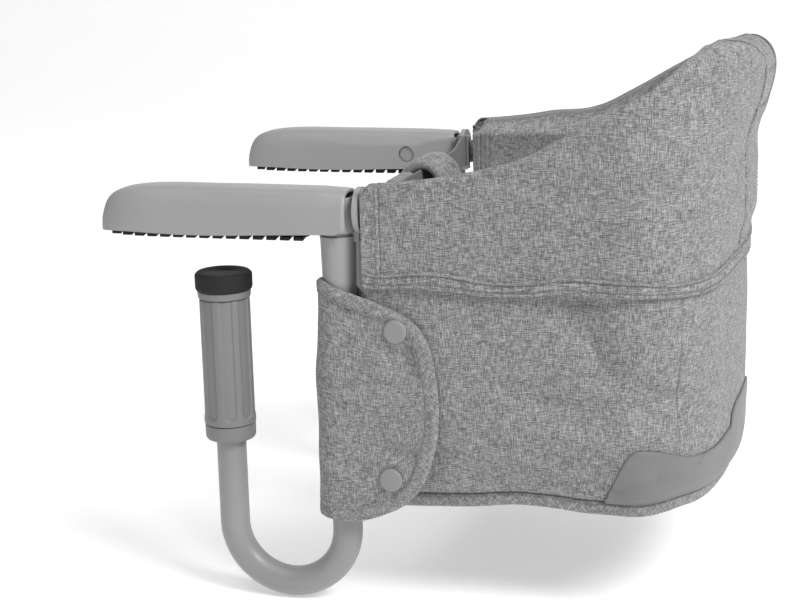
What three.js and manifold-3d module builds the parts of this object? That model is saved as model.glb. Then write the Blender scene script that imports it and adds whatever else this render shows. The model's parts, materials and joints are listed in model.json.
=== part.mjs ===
// Hook-on table chair for a small child: a fabric bucket seat on a bent tube frame that hangs
// from a table top. Each side has an arm that lies on the table and a hooked tube below it whose
// clamp foot is screwed up against the underside of the table.
// Millimetres, +Z up. X runs from the table towards the seat back and Y across the seat.
// The origin lies on the table top, midway between the two upright legs.

import * as THREE from 'three';
import { mergeVertices } from 'three/addons/utils/BufferGeometryUtils.js';
import Module from 'manifold-3d';

const wasm = await Module();
wasm.setup();

// Sizes that the whole chair shares
const legSpacing = 300;
const fitGap = 0.3;
const runningGap = 0.4;
const overrun = 3;
const tableThickness = 27;

// Hooked tube: the upright leg, the hook under the table and the short leg that carries the clamp
const hook = {
  radius: 11, wall: 1.5, reach: 89, depth: 263, legTop: 24.5, freeEnd: -112,
  sides: 12, boreSides: 8, steps: 16, straightShare: 0.0625,
};

// Arm: cover shell, core with its boss round the leg, rubber pad and the small parts in it
const arm = {
  reach: 182, halfWidth: 18, top: 37.5, bottom: 2.6, wall: 2,
  hubRadius: 15.4, wallEnd: 9, overhangHeight: 30,
  stationShares: [0, 0.2, 0.57, 0.76, 0.87, 0.93, 0.975, 1],
  widthShares: [0.856, 0.96, 1, 0.94, 0.8, 0.64, 0.42, 0.18],
  topShares: [0.94, 0.964, 1, 0.985, 0.92, 0.8, 0.58, 0.34],
  hubShares: [0.96, 0.76, 0.4],
  sectionShares: [[1, 0], [1, 0.45], [0.95, 0.8], [0.72, 0.96], [0, 1]],
};
const core = {
  noseGap: 4, plateBottom: 5, plateTop: 7.5, beamTop: 26, beamHalfWidth: 8, beamNoseGap: 42,
  bossRadius: 12.6, bossBottom: 3.2, bossTop: 26.5, bossSides: 20,
};
const pad = { noseGap: 6, rear: 20, inset: 4.4, bottom: 0, webBottom: 2.2, webTop: 4.6, ribLength: 7.3, ribCount: 17, slant: 2.4 };
const screw = { place: 16.4, headRadius: 2.7, headHeight: 2, shankRadius: 1.6, top: 31, postRadius: 3.3, sides: 10 };
const button = { place: 30, height: 17, radius: 6, length: 9, proud: 1.4, travel: 3.5, face: 3, bed: 4, sides: 16 };
const spring = { outerRadius: 4.2, innerRadius: 3.2 };

// Clamp: knob, its collar and spindle, the nut in the tube end, the plate and the rubber foot
const clampParts = {
  footRadius: 21, footHeight: 13.4, plateRadius: 19.6, plateHeight: 5.4, pivotRadius: 4, pivotHeight: 3.4,
  knobRadius: 19.15, knobBottom: -141.3, knobWall: 3.6, crownHeight: 6, headRecess: 3.2, headRadius: 11,
  collarRadius: 18.7, collarBottom: -153.5, collarSpigot: 8, spindleRadius: 6, spindleBottom: -166,
  nutFlange: 2.4, nutDepth: 16, fluteCount: 8, fluteRadius: 9, fluteDepth: 0.9, fluteRunOut: 5,
  sides: 24, shaftSides: 16,
};

// Corner socket: the sleeve that the leg turns in, the saddle behind the arm and the frame spigot
const socket = {
  sleeveRadius: 12.6, sleeveBottom: -60, collarRadius: 15, collarBottom: -4, collarTop: -1.2,
  saddleInner: 16.2, saddleOuter: 21.5, saddleTop: 38.5, saddleFrom: -70, saddleTo: 20,
  spigotLength: 36, lugReach: 18.8, lugBottom: 5, lugTop: 33, sides: 20,
};

// Seat frame: the bent tube round the seat, the back hoop and the clips that join them
const frame = { radius: 9.5, wall: 1.5, height: 18, inset: 15, front: 24.2, sides: 12, boreSides: 8, steps: 24 };
const hoop = {
  radius: 6, wall: 1.2, footHeight: 29.5, footSpread: 118, top: 115.5, crownInset: 9, sides: 8, boreSides: 6, steps: 24,
  pathShares: [[1, 0, 0], [1, 0.3, 0.1], [0.985, 0.6, 0.2], [0.9, 0.83, 0.35], [0.5, 0.965, 0.8]],
};
const clip = { wall: 1.1, halfLength: 8, top: 36 };

// Fabric seat: its outline seen from above and the heights of its edges
const seat = {
  front: 22.3, roundStart: 200, roundReach: 81, roundness: 2.15, halfWidth: legSpacing / 2 + frame.inset,
  sideTop: 41, backTop: 132, topInset: 6, bottom: -199.5,
};
const roundShare = 0.55;
const edgeShares = [[0, 0], [0.16, 0.038], [0.32, 0.11], [0.46, 0.21], [0.573, 0.363], [0.683, 0.527],
  [0.805, 0.692], [0.886, 0.802], [0.935, 0.879], [0.976, 0.956], [1, 1]];
const edgeBack = 268;
const cloth = { cover: 3, lining: 3, wallThick: 9, footThick: 4.2, flap: 3.2, patch: 1.2, pocket: 2.4 };
const cover = { hem: -34, hemLiftShares: [[0, 0.2], [0.2, 0], [0.7, 0.05], [1, 0.12]], bendHeight: 50, stations: 31,
  rowShares: [0, 0.2, 0.45, 0.7, 0.88, 1] };
const lining = {
  bottom: -23, foot: 13, level: 27, front: 31, rearInset: 23, stations: 27,
  lowShares: [0, 0.5, 1], highShares: [0, 0.3, 0.65, 1],
};
const tub = {
  top: -25.5, foot: -190.6, seamShare: 0.36, seamGapShare: 0.004,
  rowShares: [0, 0.06, 0.16, 0.28, 0.46, 0.68, 0.9, 1],
  insetShares: [[0, 1], [0.04, 0.92], [0.1, 0.62], [0.2, 0.36], [0.32, 0.16], [0.5, 0.02], [0.7, 0],
    [0.85, 0.06], [0.93, 0.2], [1, 0.2]],
  inset: 22, sideStations: 14, backStations: 13,
};
const binding = { height: 8.6, inset: 19.5, thick: 4.6, front: 25 };
const patch = {
  gap: 1.4, reachShare: 0.575, top: -150, rearTop: -116, topInShare: 0.05, stations: 26, rowShares: [0, 0.25, 0.6, 1],
};
const pocket = { halfShare: 0.17, bottom: -18, top: 86, bulge: 3.2, stations: 9, rowShares: [0, 0.15, 0.4, 0.65, 0.88, 1] };
const roll = {
  height: 17.5, depth: 18.5, bulge: 9, rise: 3, gap: 1.2, reachShare: 0.42, clearShare: 0.05, growShare: 0.28, endShare: 0.2,
  sides: 12, stations: 19,
};
const base = { inset: 24.4, front: 25, thick: 2.6 };
const board = { inset: 32, front: 32, thick: 3 };
const cushion = {
  front: 33, inset: 35.5, crown: 21,
  layerShares: [[0, 0.03], [0.22, 0], [0.5, 0], [0.72, 0.03], [0.86, 0.09], [0.94, 0.22], [0.985, 0.48], [1, 0.8]],
  spread: 120, sideStations: 34,
};
const flap = {
  wrapRadius: 17.4, seamX: 58, innerGap: 1.2, reach: 75, outerLift: 17, top: -30, bottom: -205,
  outlineShares: [[0, 0, 0], [0.22, 0.03, 0], [0.46, 0.065, 0], [0.6, 0.1, 0.004], [0.72, 0.135, 0.03],
    [0.83, 0.18, 0.075], [0.91, 0.245, 0.14], [0.965, 0.325, 0.225], [1, 0.42, 0.33]],
  innerTopShare: 0.06, innerBottomShare: 0.2, arcSteps: 8, rows: 6,
};
const snap = { radius: 8.3, height: 3, sides: 14, places: [[46.3, -62], [40.3, -171.7]], names: ['upper', 'lower'] };
const crotch = {
  halfWidth: 27, thick: 4, footX: 28.4, bow: 5, loopX: 30, loopZ: 13, loopHalfDepth: 20,
  loopHalfHeight: 28, loopWall: 6, rows: 10, sides: 24,
};
const belt = { height: 25, thick: 1.8, anchorX: 22, anchorZ: 21.5, middleX: 27, middleZ: 17, steps: 10 };
const buckle = {
  start: -100, bodyLength: 27, bodyHeight: 30, bodyDepth: 10, wall: 2, tongueLength: 15, prongLength: 20,
  prongHeight: 6, prongDepth: 4.6, prongGap: 8, play: 0.6,
};

// Colours and finishes
const finish = {
  plastic: { color: 0x8e8f90, roughness: 0.55, metalness: 0 },
  darkPlastic: { color: 0x6d6e70, roughness: 0.5, metalness: 0 },
  rubber: { color: 0x1b1b1c, roughness: 0.85, metalness: 0 },
  lacquer: { color: 0x97989a, roughness: 0.42, metalness: 0.1 },
  steel: { color: 0xb9bbbe, roughness: 0.35, metalness: 0.9 },
  fabric: { color: 0x9a9b9c, roughness: 0.95, metalness: 0 },
  liner: { color: 0x8c8d8f, roughness: 0.95, metalness: 0 },
  coated: { color: 0x909193, roughness: 0.6, metalness: 0 },
  webbing: { color: 0x77787a, roughness: 0.9, metalness: 0 },
  board: { color: 0x3c3d3f, roughness: 0.8, metalness: 0 },
};

// Small helpers
const mergeShare = 1e-4;
const lerp = THREE.MathUtils.lerp;
const smooth = (share) => THREE.MathUtils.smoothstep(share, 0, 1);
const point = (x, y, z) => new THREE.Vector3(x, y, z);

function fromTable(table, share) {
  const last = table.length - 1;
  if (share <= table[0][0]) return table[0][1];
  for (let i = 0; i < last; i += 1) {
    const [from, low] = table[i];
    const [to, high] = table[i + 1];
    if (share <= to) return lerp(low, high, (share - from) / (to - from));
  }
  return table[last][1];
}

function volumeOf(geometry) {
  const place = geometry.attributes.position;
  const corners = geometry.index.array;
  const [a, b, c] = [new THREE.Vector3(), new THREE.Vector3(), new THREE.Vector3()];
  let volume = 0;
  for (let i = 0; i < corners.length; i += 3) {
    a.fromBufferAttribute(place, corners[i]);
    b.fromBufferAttribute(place, corners[i + 1]);
    c.fromBufferAttribute(place, corners[i + 2]);
    volume += a.dot(b.cross(c)) / 6;
  }
  return volume;
}

function turnedInsideOut(geometry) {
  const corners = Array.from(geometry.index.array);
  for (let i = 0; i < corners.length; i += 3) {
    [corners[i], corners[i + 1]] = [corners[i + 1], corners[i]];
  }
  const turned = geometry.clone();
  turned.setIndex(corners);
  return turned;
}

// One closed body with shared vertices and its faces pointing out
function closed(geometry) {
  const bare = geometry.clone();
  bare.deleteAttribute('normal');
  bare.deleteAttribute('uv');
  const merged = mergeVertices(bare, mergeShare);
  return volumeOf(merged) < 0 ? turnedInsideOut(merged) : merged;
}

function toManifold(geometry) {
  const whole = closed(geometry);
  return new wasm.Manifold(new wasm.Mesh({
    numProp: 3,
    vertProperties: new Float32Array(whole.attributes.position.array),
    triVerts: new Uint32Array(whole.index.array),
  }));
}

function toGeometry(manifold) {
  const mesh = manifold.getMesh();
  const geometry = new THREE.BufferGeometry();
  geometry.setAttribute('position', new THREE.BufferAttribute(new Float32Array(mesh.vertProperties), 3));
  geometry.setIndex(Array.from(mesh.triVerts));
  return geometry;
}

function joined(first, ...others) {
  return toGeometry(others.reduce((sum, other) => sum.add(toManifold(other)), toManifold(first)));
}

function cut(first, ...tools) {
  return toGeometry(tools.reduce((rest, tool) => rest.subtract(toManifold(tool)), toManifold(first)));
}

function mirrored(geometry) {
  const copy = closed(geometry);
  copy.scale(1, -1, 1);
  return turnedInsideOut(copy);
}

function circlePoints(radius, sides) {
  return Array.from({ length: sides }, (_, i) => {
    const angle = (2 * Math.PI * i) / sides;
    return new THREE.Vector2(radius * Math.cos(angle), radius * Math.sin(angle));
  });
}

// How near the middle of each flat of a many-sided round comes to its axis
function flatRadius(radius, sides) {
  return radius * Math.cos(Math.PI / sides);
}

// A block between two corners
function block(low, high) {
  const geometry = new THREE.BoxGeometry(high.x - low.x, high.y - low.y, high.z - low.z);
  return geometry.translate((low.x + high.x) / 2, (low.y + high.y) / 2, (low.z + high.z) / 2);
}

// A turned piece about the Z axis from a profile of [radius, height] points
function turned(profile, sides) {
  const points = profile.map(([radius, height]) => new THREE.Vector2(radius, height));
  return new THREE.LatheGeometry(points, sides).rotateX(Math.PI / 2);
}

function rod(radius, low, high, sides) {
  return turned([[0, low], [radius, low], [radius, high], [0, high]], sides);
}

function ring(inner, outer, low, high, sides) {
  return turned([[inner, low], [outer, low], [outer, high], [inner, high], [inner, low]], sides);
}

function plate(points, low, high, holes = []) {
  const shape = new THREE.Shape(points);
  holes.forEach((hole) => shape.holes.push(new THREE.Path(hole)));
  return new THREE.ExtrudeGeometry(shape, { depth: high - low, bevelEnabled: false }).translate(0, 0, low);
}

function pipe(path, size) {
  const shape = new THREE.Shape(circlePoints(size.radius, size.sides));
  if (size.wall) shape.holes.push(new THREE.Path(circlePoints(size.radius - size.wall, size.boreSides)));
  return new THREE.ExtrudeGeometry(shape, { steps: size.steps, extrudePath: path, bevelEnabled: false });
}

// A closed body through a row of rings with as many points each, capped by a fan at both ends
function loft(rings) {
  const count = rings[0].length;
  const points = rings.flat();
  const corners = [];
  for (let i = 0; i + 1 < rings.length; i += 1) {
    for (let j = 0; j < count; j += 1) {
      const [a, b] = [i * count + j, i * count + ((j + 1) % count)];
      corners.push(a, b, b + count, a, b + count, a + count);
    }
  }
  [0, rings.length - 1].forEach((end) => {
    const middle = rings[end].reduce((sum, corner) => sum.add(corner), point(0, 0, 0)).divideScalar(count);
    points.push(middle);
    for (let j = 0; j < count; j += 1) {
      const [a, b] = [end * count + j, end * count + ((j + 1) % count)];
      if (end === 0) corners.push(b, a, points.length - 1);
      else corners.push(a, b, points.length - 1);
    }
  });
  return closed(new THREE.BufferGeometry().setFromPoints(points).setIndex(corners));
}

// A closed sheet between an outer and an inner grid of points
function slab(outer, inner) {
  const [rows, columns] = [outer.length, outer[0].length];
  const points = [...outer.flat(), ...inner.flat()];
  const at = (layer, i, j) => layer * rows * columns + i * columns + j;
  const corners = [];
  const quad = (a, b, c, d) => corners.push(a, b, c, a, c, d);
  for (let i = 0; i + 1 < rows; i += 1) {
    for (let j = 0; j + 1 < columns; j += 1) {
      quad(at(0, i, j), at(0, i + 1, j), at(0, i + 1, j + 1), at(0, i, j + 1));
      quad(at(1, i, j), at(1, i, j + 1), at(1, i + 1, j + 1), at(1, i + 1, j));
    }
  }
  for (let i = 0; i + 1 < rows; i += 1) {
    const end = columns - 1;
    quad(at(0, i, 0), at(1, i, 0), at(1, i + 1, 0), at(0, i + 1, 0));
    quad(at(0, i, end), at(0, i + 1, end), at(1, i + 1, end), at(1, i, end));
  }
  for (let j = 0; j + 1 < columns; j += 1) {
    const end = rows - 1;
    quad(at(0, 0, j), at(0, 0, j + 1), at(1, 0, j + 1), at(1, 0, j));
    quad(at(0, end, j), at(1, end, j), at(1, end, j + 1), at(0, end, j + 1));
  }
  return closed(new THREE.BufferGeometry().setFromPoints(points).setIndex(corners));
}

function piece(name, geometry, look) {
  const mesh = new THREE.Mesh(closed(geometry), new THREE.MeshStandardMaterial(finish[look]));
  mesh.name = name;
  return mesh;
}

// Paths of the tubes
class HookPath extends THREE.Curve {
  constructor() {
    super();
    this.radius = hook.reach / 2;
    this.bendHeight = -hook.depth + this.radius;
  }

  // One step down each straight leg and the rest round the bend
  getUtoTmapping(share) {
    return share;
  }

  getPoint(share, target = new THREE.Vector3()) {
    const bendShare = (share - hook.straightShare) / (1 - 2 * hook.straightShare);
    if (bendShare < 0) return target.set(0, 0, lerp(hook.legTop, this.bendHeight, share / hook.straightShare));
    if (bendShare > 1) {
      const up = (share - 1) / hook.straightShare + 1;
      return target.set(-hook.reach, 0, lerp(this.bendHeight, hook.freeEnd, up));
    }
    const [across, down] = [Math.cos(bendShare * Math.PI) - 1, Math.sin(bendShare * Math.PI)];
    return target.set(this.radius * across, 0, this.bendHeight - this.radius * down);
  }
}

// The seat seen from above: station -1 is the front of the left side, 0 the middle of the back
function planPoint(station, inset, front = seat.front) {
  const side = Math.sign(station);
  const share = Math.abs(station);
  if (share > roundShare) {
    const along = (share - roundShare) / (1 - roundShare);
    return { x: lerp(seat.roundStart, front, along), y: side * (seat.halfWidth - inset) };
  }
  const angle = (share / roundShare) * (Math.PI / 2);
  const power = 2 / seat.roundness;
  return {
    x: seat.roundStart + (seat.roundReach - inset) * Math.max(Math.cos(angle), 0) ** power,
    y: side * (seat.halfWidth - inset) * Math.sin(angle) ** power,
  };
}

// How far back the round end of the seat reaches at a given distance from the middle
function planX(y, inset) {
  const across = Math.abs(y) / (seat.halfWidth - inset);
  return seat.roundStart + (seat.roundReach - inset) * (1 - across ** seat.roundness) ** (1 / seat.roundness);
}

class FramePath extends THREE.Curve {
  getUtoTmapping(share) {
    return share;
  }

  getPoint(share, target = new THREE.Vector3()) {
    const { x, y } = planPoint(2 * share - 1, frame.inset, frame.front);
    return target.set(x, y, frame.height);
  }
}

function hoopPath(foot = hoop.footHeight) {
  const place = ([across, up, inward], side) => {
    const y = side * hoop.footSpread * across;
    return point(planX(y, lerp(frame.inset, hoop.crownInset, inward)), y, lerp(foot, hoop.top, up));
  };
  return new THREE.CatmullRomCurve3([
    ...hoop.pathShares.map((row) => place(row, -1)), place([0, 1, 1], 0),
    ...hoop.pathShares.map((row) => place(row, 1)).reverse(),
  ]);
}

// Arm pieces, for the left side, with the leg at the origin and the table towards -X
function armStations(inset) {
  const along = arm.stationShares.map((share, i) => ({
    x: -(arm.reach - inset) * share,
    w: Math.max(arm.halfWidth * arm.widthShares[i] - inset, inset / 4),
    top: arm.top * arm.topShares[i] - inset,
  })).reverse();
  const radius = arm.hubRadius - inset;
  const round = arm.hubShares.map((share) => ({
    x: radius * Math.sqrt(1 - share * share), w: radius * share, top: arm.top * arm.topShares[0] - inset,
  }));
  return [...along, ...round];
}

function armBody(inset, bottom) {
  return loft(armStations(inset).map(({ x, w, top }) => {
    const half = arm.sectionShares.map(([across, up]) => [w * across, lerp(bottom, Math.max(top, bottom + w / 2), up)]);
    const left = half.map(([y, z]) => point(x, -y, z));
    const right = half.slice(0, -1).reverse().map(([y, z]) => point(x, y, z));
    return [...left, ...right];
  }));
}

function armWidthAt(x, inset = 0) {
  const rows = arm.stationShares.map((share, i) => [share, arm.widthShares[i]]);
  return arm.halfWidth * fromTable(rows, -x / (arm.reach - inset)) - inset;
}

function armPlan(inset, from, to) {
  const stations = arm.stationShares.map((share) => (inset - arm.reach) * share);
  const between = stations.filter((x) => x > from && x < to).reverse();
  const rows = [from, ...between, to].map((x) => [x, armWidthAt(x, inset)]);
  return [...rows.map(([x, w]) => new THREE.Vector2(x, -w)), ...rows.reverse().map(([x, w]) => new THREE.Vector2(x, w))];
}

function crossRod(radius, low, high, x, z, sides) {
  return rod(radius, low, high, sides).rotateX(-Math.PI / 2).translate(x, 0, z);
}

function armCover() {
  const shell = cut(armBody(0, arm.bottom), armBody(arm.wall, arm.bottom - overrun));
  const rear = block(
    point(arm.wallEnd, -arm.hubRadius - overrun, arm.bottom - overrun),
    point(arm.hubRadius + overrun, arm.hubRadius + overrun, arm.overhangHeight));
  const hole = crossRod(
    button.radius + runningGap, core.beamHalfWidth, arm.halfWidth + overrun, -button.place, button.height, button.sides);
  const post = rod(screw.postRadius, core.beamTop + fitGap, arm.top * arm.topShares[1] - arm.wall / 2, screw.sides)
    .translate(-screw.place, 0, 0);
  const bore = rod(screw.shankRadius + fitGap, core.beamTop - overrun, screw.top + fitGap, screw.sides)
    .translate(-screw.place, 0, 0);
  return cut(joined(cut(shell, rear, hole), post), bore);
}

function armCore() {
  const inset = arm.wall + fitGap;
  const rib = block(
    point(core.beamNoseGap - arm.reach, -core.beamHalfWidth, core.plateTop - fitGap),
    point(0, core.beamHalfWidth, core.beamTop));
  const boss = rod(core.bossRadius, core.bossBottom, core.bossTop, core.bossSides);
  const bore = rod(hook.radius + fitGap, core.bossBottom - overrun, hook.legTop + fitGap, core.bossSides);
  const bed = crossRod(
    button.radius + runningGap, button.bed, arm.halfWidth, -button.place, button.height, button.sides);
  const hole = rod(screw.shankRadius + fitGap, arm.bottom, core.beamTop + overrun, screw.sides)
    .translate(-screw.place, 0, 0);
  return cut(joined(plate(armPlan(inset, core.noseGap - arm.reach, 0), core.plateBottom, core.plateTop), rib, boss), bore, bed, hole);
}

function armPad() {
  const front = pad.noseGap - arm.reach;
  const web = plate(armPlan(pad.inset, front, -pad.rear), pad.webBottom, pad.webTop);
  const pitch = (-front - pad.rear - pad.ribLength) / (pad.ribCount - 1);
  const ribs = Array.from({ length: pad.ribCount }, (_, i) => {
    const x = front + pitch * i;
    const half = Math.min(armWidthAt(x, pad.inset), armWidthAt(x + pad.ribLength, pad.inset));
    const slant = pad.slant * (half / arm.halfWidth);
    return plate([
      new THREE.Vector2(x, -half), new THREE.Vector2(x + pad.ribLength - slant, -half),
      new THREE.Vector2(x + pad.ribLength, half), new THREE.Vector2(x + slant, half),
    ], pad.bottom, pad.webBottom + fitGap);
  });
  return joined(web, ...ribs);
}

function armScrew() {
  const low = core.plateBottom - fitGap - screw.headHeight;
  return turned([
    [0, low], [screw.headRadius, low], [screw.headRadius, low + screw.headHeight],
    [screw.shankRadius, low + screw.headHeight], [screw.shankRadius, screw.top], [0, screw.top],
  ], screw.sides).translate(-screw.place, 0, 0);
}

function buttonFace() {
  return armWidthAt(-button.place) + button.proud;
}

// The button is a cup over its spring, which keeps clear of the cup's floor when it is pressed
function lockButton() {
  const face = buttonFace();
  const outside = crossRod(button.radius, face - button.length, face, -button.place, button.height, button.sides);
  const inside = crossRod(
    spring.outerRadius + fitGap, face - button.length - overrun, face - button.face,
    -button.place, button.height, button.sides);
  return cut(outside, inside);
}

function lockSpring() {
  const [low, high] = [button.bed + fitGap, buttonFace() - button.face - button.travel - fitGap];
  return ring(spring.innerRadius, spring.outerRadius, low, high, button.sides)
    .rotateX(-Math.PI / 2).translate(-button.place, 0, button.height);
}

// Clamp pieces, stacked down from the table's underside on the axis of the short leg
const clampLevel = {};
clampLevel.footTop = -tableThickness;
clampLevel.plateTop = clampLevel.footTop - clampParts.footHeight - fitGap;
clampLevel.plateBottom = clampLevel.plateTop - clampParts.plateHeight;
clampLevel.knobTop = clampLevel.plateBottom - runningGap;
clampLevel.headBottom = clampLevel.knobTop - clampParts.headRecess;
clampLevel.crownBottom = clampLevel.headBottom - clampParts.crownHeight;

function clampFoot() {
  const { footTop } = clampLevel;
  const { footRadius, footHeight } = clampParts;
  const chamfer = footHeight / 6;
  return turned([
    [0, footTop - footHeight], [footRadius - chamfer, footTop - footHeight],
    [footRadius, footTop - footHeight + chamfer], [footRadius, footTop - chamfer],
    [footRadius - chamfer, footTop], [0, footTop],
  ], clampParts.sides);
}

function clampPlate() {
  const { plateTop, plateBottom } = clampLevel;
  const bore = clampParts.pivotRadius + runningGap;
  const depth = clampParts.pivotHeight + runningGap;
  return turned([
    [bore, plateBottom], [clampParts.plateRadius - runningGap, plateBottom], [clampParts.plateRadius, plateTop],
    [0, plateTop], [0, plateBottom + depth], [bore, plateBottom + depth], [bore, plateBottom],
  ], clampParts.sides);
}

function clampKnob() {
  const { knobTop, headBottom, crownBottom } = clampLevel;
  const { knobRadius, knobBottom, knobWall, headRadius, spindleRadius } = clampParts;
  const chamfer = knobWall / 3;
  const body = turned([
    [knobRadius - knobWall, knobBottom], [knobRadius - chamfer, knobBottom], [knobRadius, knobBottom + chamfer],
    [knobRadius, knobTop - chamfer], [knobRadius - chamfer, knobTop], [headRadius + fitGap, knobTop],
    [headRadius + fitGap, headBottom], [spindleRadius + fitGap, headBottom],
    [spindleRadius + fitGap, crownBottom], [knobRadius - knobWall, crownBottom],
    [knobRadius - knobWall, knobBottom],
  ], clampParts.sides);
  const low = knobBottom + clampParts.fluteRunOut;
  const flutes = Array.from({ length: clampParts.fluteCount }, (_, i) => {
    const reach = knobRadius + clampParts.fluteRadius - clampParts.fluteDepth;
    return rod(clampParts.fluteRadius, low, knobTop + overrun, screw.sides)
      .translate(reach, 0, 0).rotateZ((2 * Math.PI * (i + 1 / 2)) / clampParts.fluteCount);
  });
  return cut(body, ...flutes);
}

function knobCollar() {
  const { collarRadius, collarBottom, collarSpigot, knobBottom, knobRadius, knobWall } = clampParts;
  const bore = hook.radius + runningGap;
  const spigot = knobRadius - knobWall - fitGap;
  const chamfer = knobWall / 2;
  const top = knobBottom - fitGap;
  return turned([
    [bore, collarBottom], [collarRadius - chamfer, collarBottom], [collarRadius, collarBottom + chamfer],
    [collarRadius, top], [spigot, top], [spigot, top + collarSpigot], [bore, top + collarSpigot],
    [bore, collarBottom],
  ], clampParts.sides);
}

function clampSpindle() {
  const { knobTop, headBottom, plateBottom } = clampLevel;
  const { spindleRadius, spindleBottom, headRadius, pivotRadius, pivotHeight } = clampParts;
  return turned([
    [0, spindleBottom], [spindleRadius, spindleBottom], [spindleRadius, headBottom + fitGap],
    [headRadius, headBottom + fitGap], [headRadius, knobTop], [pivotRadius, knobTop],
    [pivotRadius, plateBottom + pivotHeight], [0, plateBottom + pivotHeight],
  ], clampParts.shaftSides);
}

function spindleNut() {
  const bore = clampParts.spindleRadius + runningGap;
  const barrel = flatRadius(hook.radius - hook.wall, hook.boreSides) - fitGap;
  const seatHeight = hook.freeEnd + fitGap;
  return turned([
    [bore, seatHeight - clampParts.nutDepth], [barrel, seatHeight - clampParts.nutDepth], [barrel, seatHeight],
    [hook.radius, seatHeight], [hook.radius, seatHeight + clampParts.nutFlange],
    [bore, seatHeight + clampParts.nutFlange], [bore, seatHeight - clampParts.nutDepth],
  ], clampParts.shaftSides);
}

// Corner socket
function saddleSector(inner, low, high) {
  const steps = 8;
  const arc = (radius) => Array.from({ length: steps + 1 }, (_, i) => {
    const angle = THREE.MathUtils.degToRad(lerp(socket.saddleFrom, socket.saddleTo, i / steps));
    return new THREE.Vector2(radius * Math.cos(angle), radius * Math.sin(angle));
  });
  return plate([...arc(socket.saddleOuter), ...arc(inner).reverse()], low, high);
}

function cornerSocket() {
  const bore = hook.radius + runningGap;
  const height = frame.height;
  const sleeve = ring(bore, socket.sleeveRadius, socket.sleeveBottom, socket.collarBottom + fitGap, socket.sides);
  const collar = ring(bore, socket.collarRadius, socket.collarBottom, socket.collarTop, socket.sides);
  const foot = saddleSector(flatRadius(socket.sleeveRadius, socket.sides) - fitGap, socket.collarBottom, socket.collarTop);
  const saddle = saddleSector(socket.saddleInner, socket.collarBottom, socket.saddleTop);
  const inSaddle = (socket.saddleInner + socket.saddleOuter) / 2;
  const along = (radius, from, to) => rod(radius, from, to, frame.sides)
    .rotateY(Math.PI / 2).translate(0, 0, height);
  const shoulder = along(frame.radius, inSaddle, frame.front - fitGap);
  const spigotRadius = flatRadius(frame.radius - frame.wall, frame.boreSides) - fitGap;
  const spigot = along(spigotRadius, inSaddle, frame.front + socket.spigotLength);
  const lug = block(
    point(socket.saddleInner + fitGap, socket.saddleInner / 2, socket.lugBottom),
    point(frame.front - fitGap, socket.lugReach, socket.lugTop));
  return joined(sleeve, collar, foot, saddle, shoulder, spigot, lug);
}

// Back hoop clip: a block round the frame tube that takes the foot of the hoop
function hoopClip(side) {
  const spread = hoop.footSpread;
  const x = planX(spread, frame.inset);
  const turn = Math.atan2(side * -clip.halfLength, planX(spread - clip.halfLength, frame.inset) - x);
  const half = frame.radius + clip.wall;
  const body = block(
    point(-clip.halfLength, -half, frame.height - half),
    point(clip.halfLength, half, clip.top)).rotateZ(turn).translate(x, side * spread, 0);
  const tubeCut = pipe(new FramePath(), { ...frame, radius: frame.radius + fitGap, wall: 0 });
  const hoopCut = pipe(hoopPath(hoop.footHeight - fitGap), { ...hoop, radius: hoop.radius + runningGap, wall: 0 });
  return cut(body, tubeCut, hoopCut);
}

// Fabric pieces
function topEdge(x) {
  const share = (x - seat.front) / (edgeBack - seat.front);
  return lerp(seat.sideTop, seat.backTop, fromTable(edgeShares, share));
}

function hemHeight(x) {
  const share = (x - seat.front) / (edgeBack - seat.front);
  return cover.hem * (1 - fromTable(cover.hemLiftShares, share));
}

// The padded roll thins out towards its ends, where it runs into the edges of the sides
function rollSize(station) {
  return lerp(roll.endShare, 1, smooth((roll.reachShare - Math.abs(station)) / roll.growShare));
}

function rollPlace(station) {
  const size = rollSize(station);
  const { x, y } = planPoint(station, (roll.depth - roll.bulge) * size);
  return point(x, y, topEdge(planPoint(station, 0).x) + (roll.rise - roll.height) * size);
}

// The top of the cover and the lining: the edge of the sides, or just under the roll
function clothTop(x, station) {
  if (Math.abs(station) > roll.reachShare + roll.clearShare) return topEdge(x);
  return rollPlace(station).z - roll.height * rollSize(station) - roll.gap;
}

function stationsBetween(from, to, count) {
  return Array.from({ length: count }, (_, i) => lerp(from, to, i / (count - 1)));
}

// A sheet round the seat: its heights at each station, and how far in it lies at each height
function sheet(stations, front, heights, insets, thickness) {
  const grid = (layer) => stations.map((station) => {
    const levels = heights(planPoint(station, 0, front).x, station);
    const high = levels[levels.length - 1];
    return levels.map((z) => {
      const { x, y } = planPoint(station, insets(z, station, high) + layer * thickness(z), front);
      return point(x, y, z);
    });
  });
  return slab(grid(0), grid(1));
}

function levelsBetween(low, high, shares) {
  return shares.map((share) => lerp(low, high, share));
}

function coverInset(z) {
  const share = THREE.MathUtils.clamp((z - cover.bendHeight) / (seat.backTop - cover.bendHeight), 0, 1);
  return seat.topInset * share * share;
}

function upperCover() {
  return sheet(
    stationsBetween(-1, 1, cover.stations), seat.front,
    (x, station) => levelsBetween(hemHeight(x), clothTop(x, station), cover.rowShares),
    coverInset, () => cloth.cover);
}

// The lining passes inside the frame tube and the hoop clips, and comes out to the rim above them
const clipBottom = frame.height - frame.radius - clip.wall;

function liningInset(z, station, high) {
  const edge = coverInset(high) + cloth.cover + fitGap;
  if (z <= clipBottom) return lerp(lining.foot, lining.level, smooth((z - lining.bottom) / (clipBottom - lining.bottom)));
  if (z <= clip.top) return lining.level;
  const inset = lerp(lining.level, edge, smooth((z - clip.top) / (high - clip.top)));
  const atRear = smooth((roundShare + tub.seamShare / 4 - Math.abs(station)) / (tub.seamShare / 2));
  return lerp(inset, Math.max(inset, lining.rearInset), atRear);
}

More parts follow.
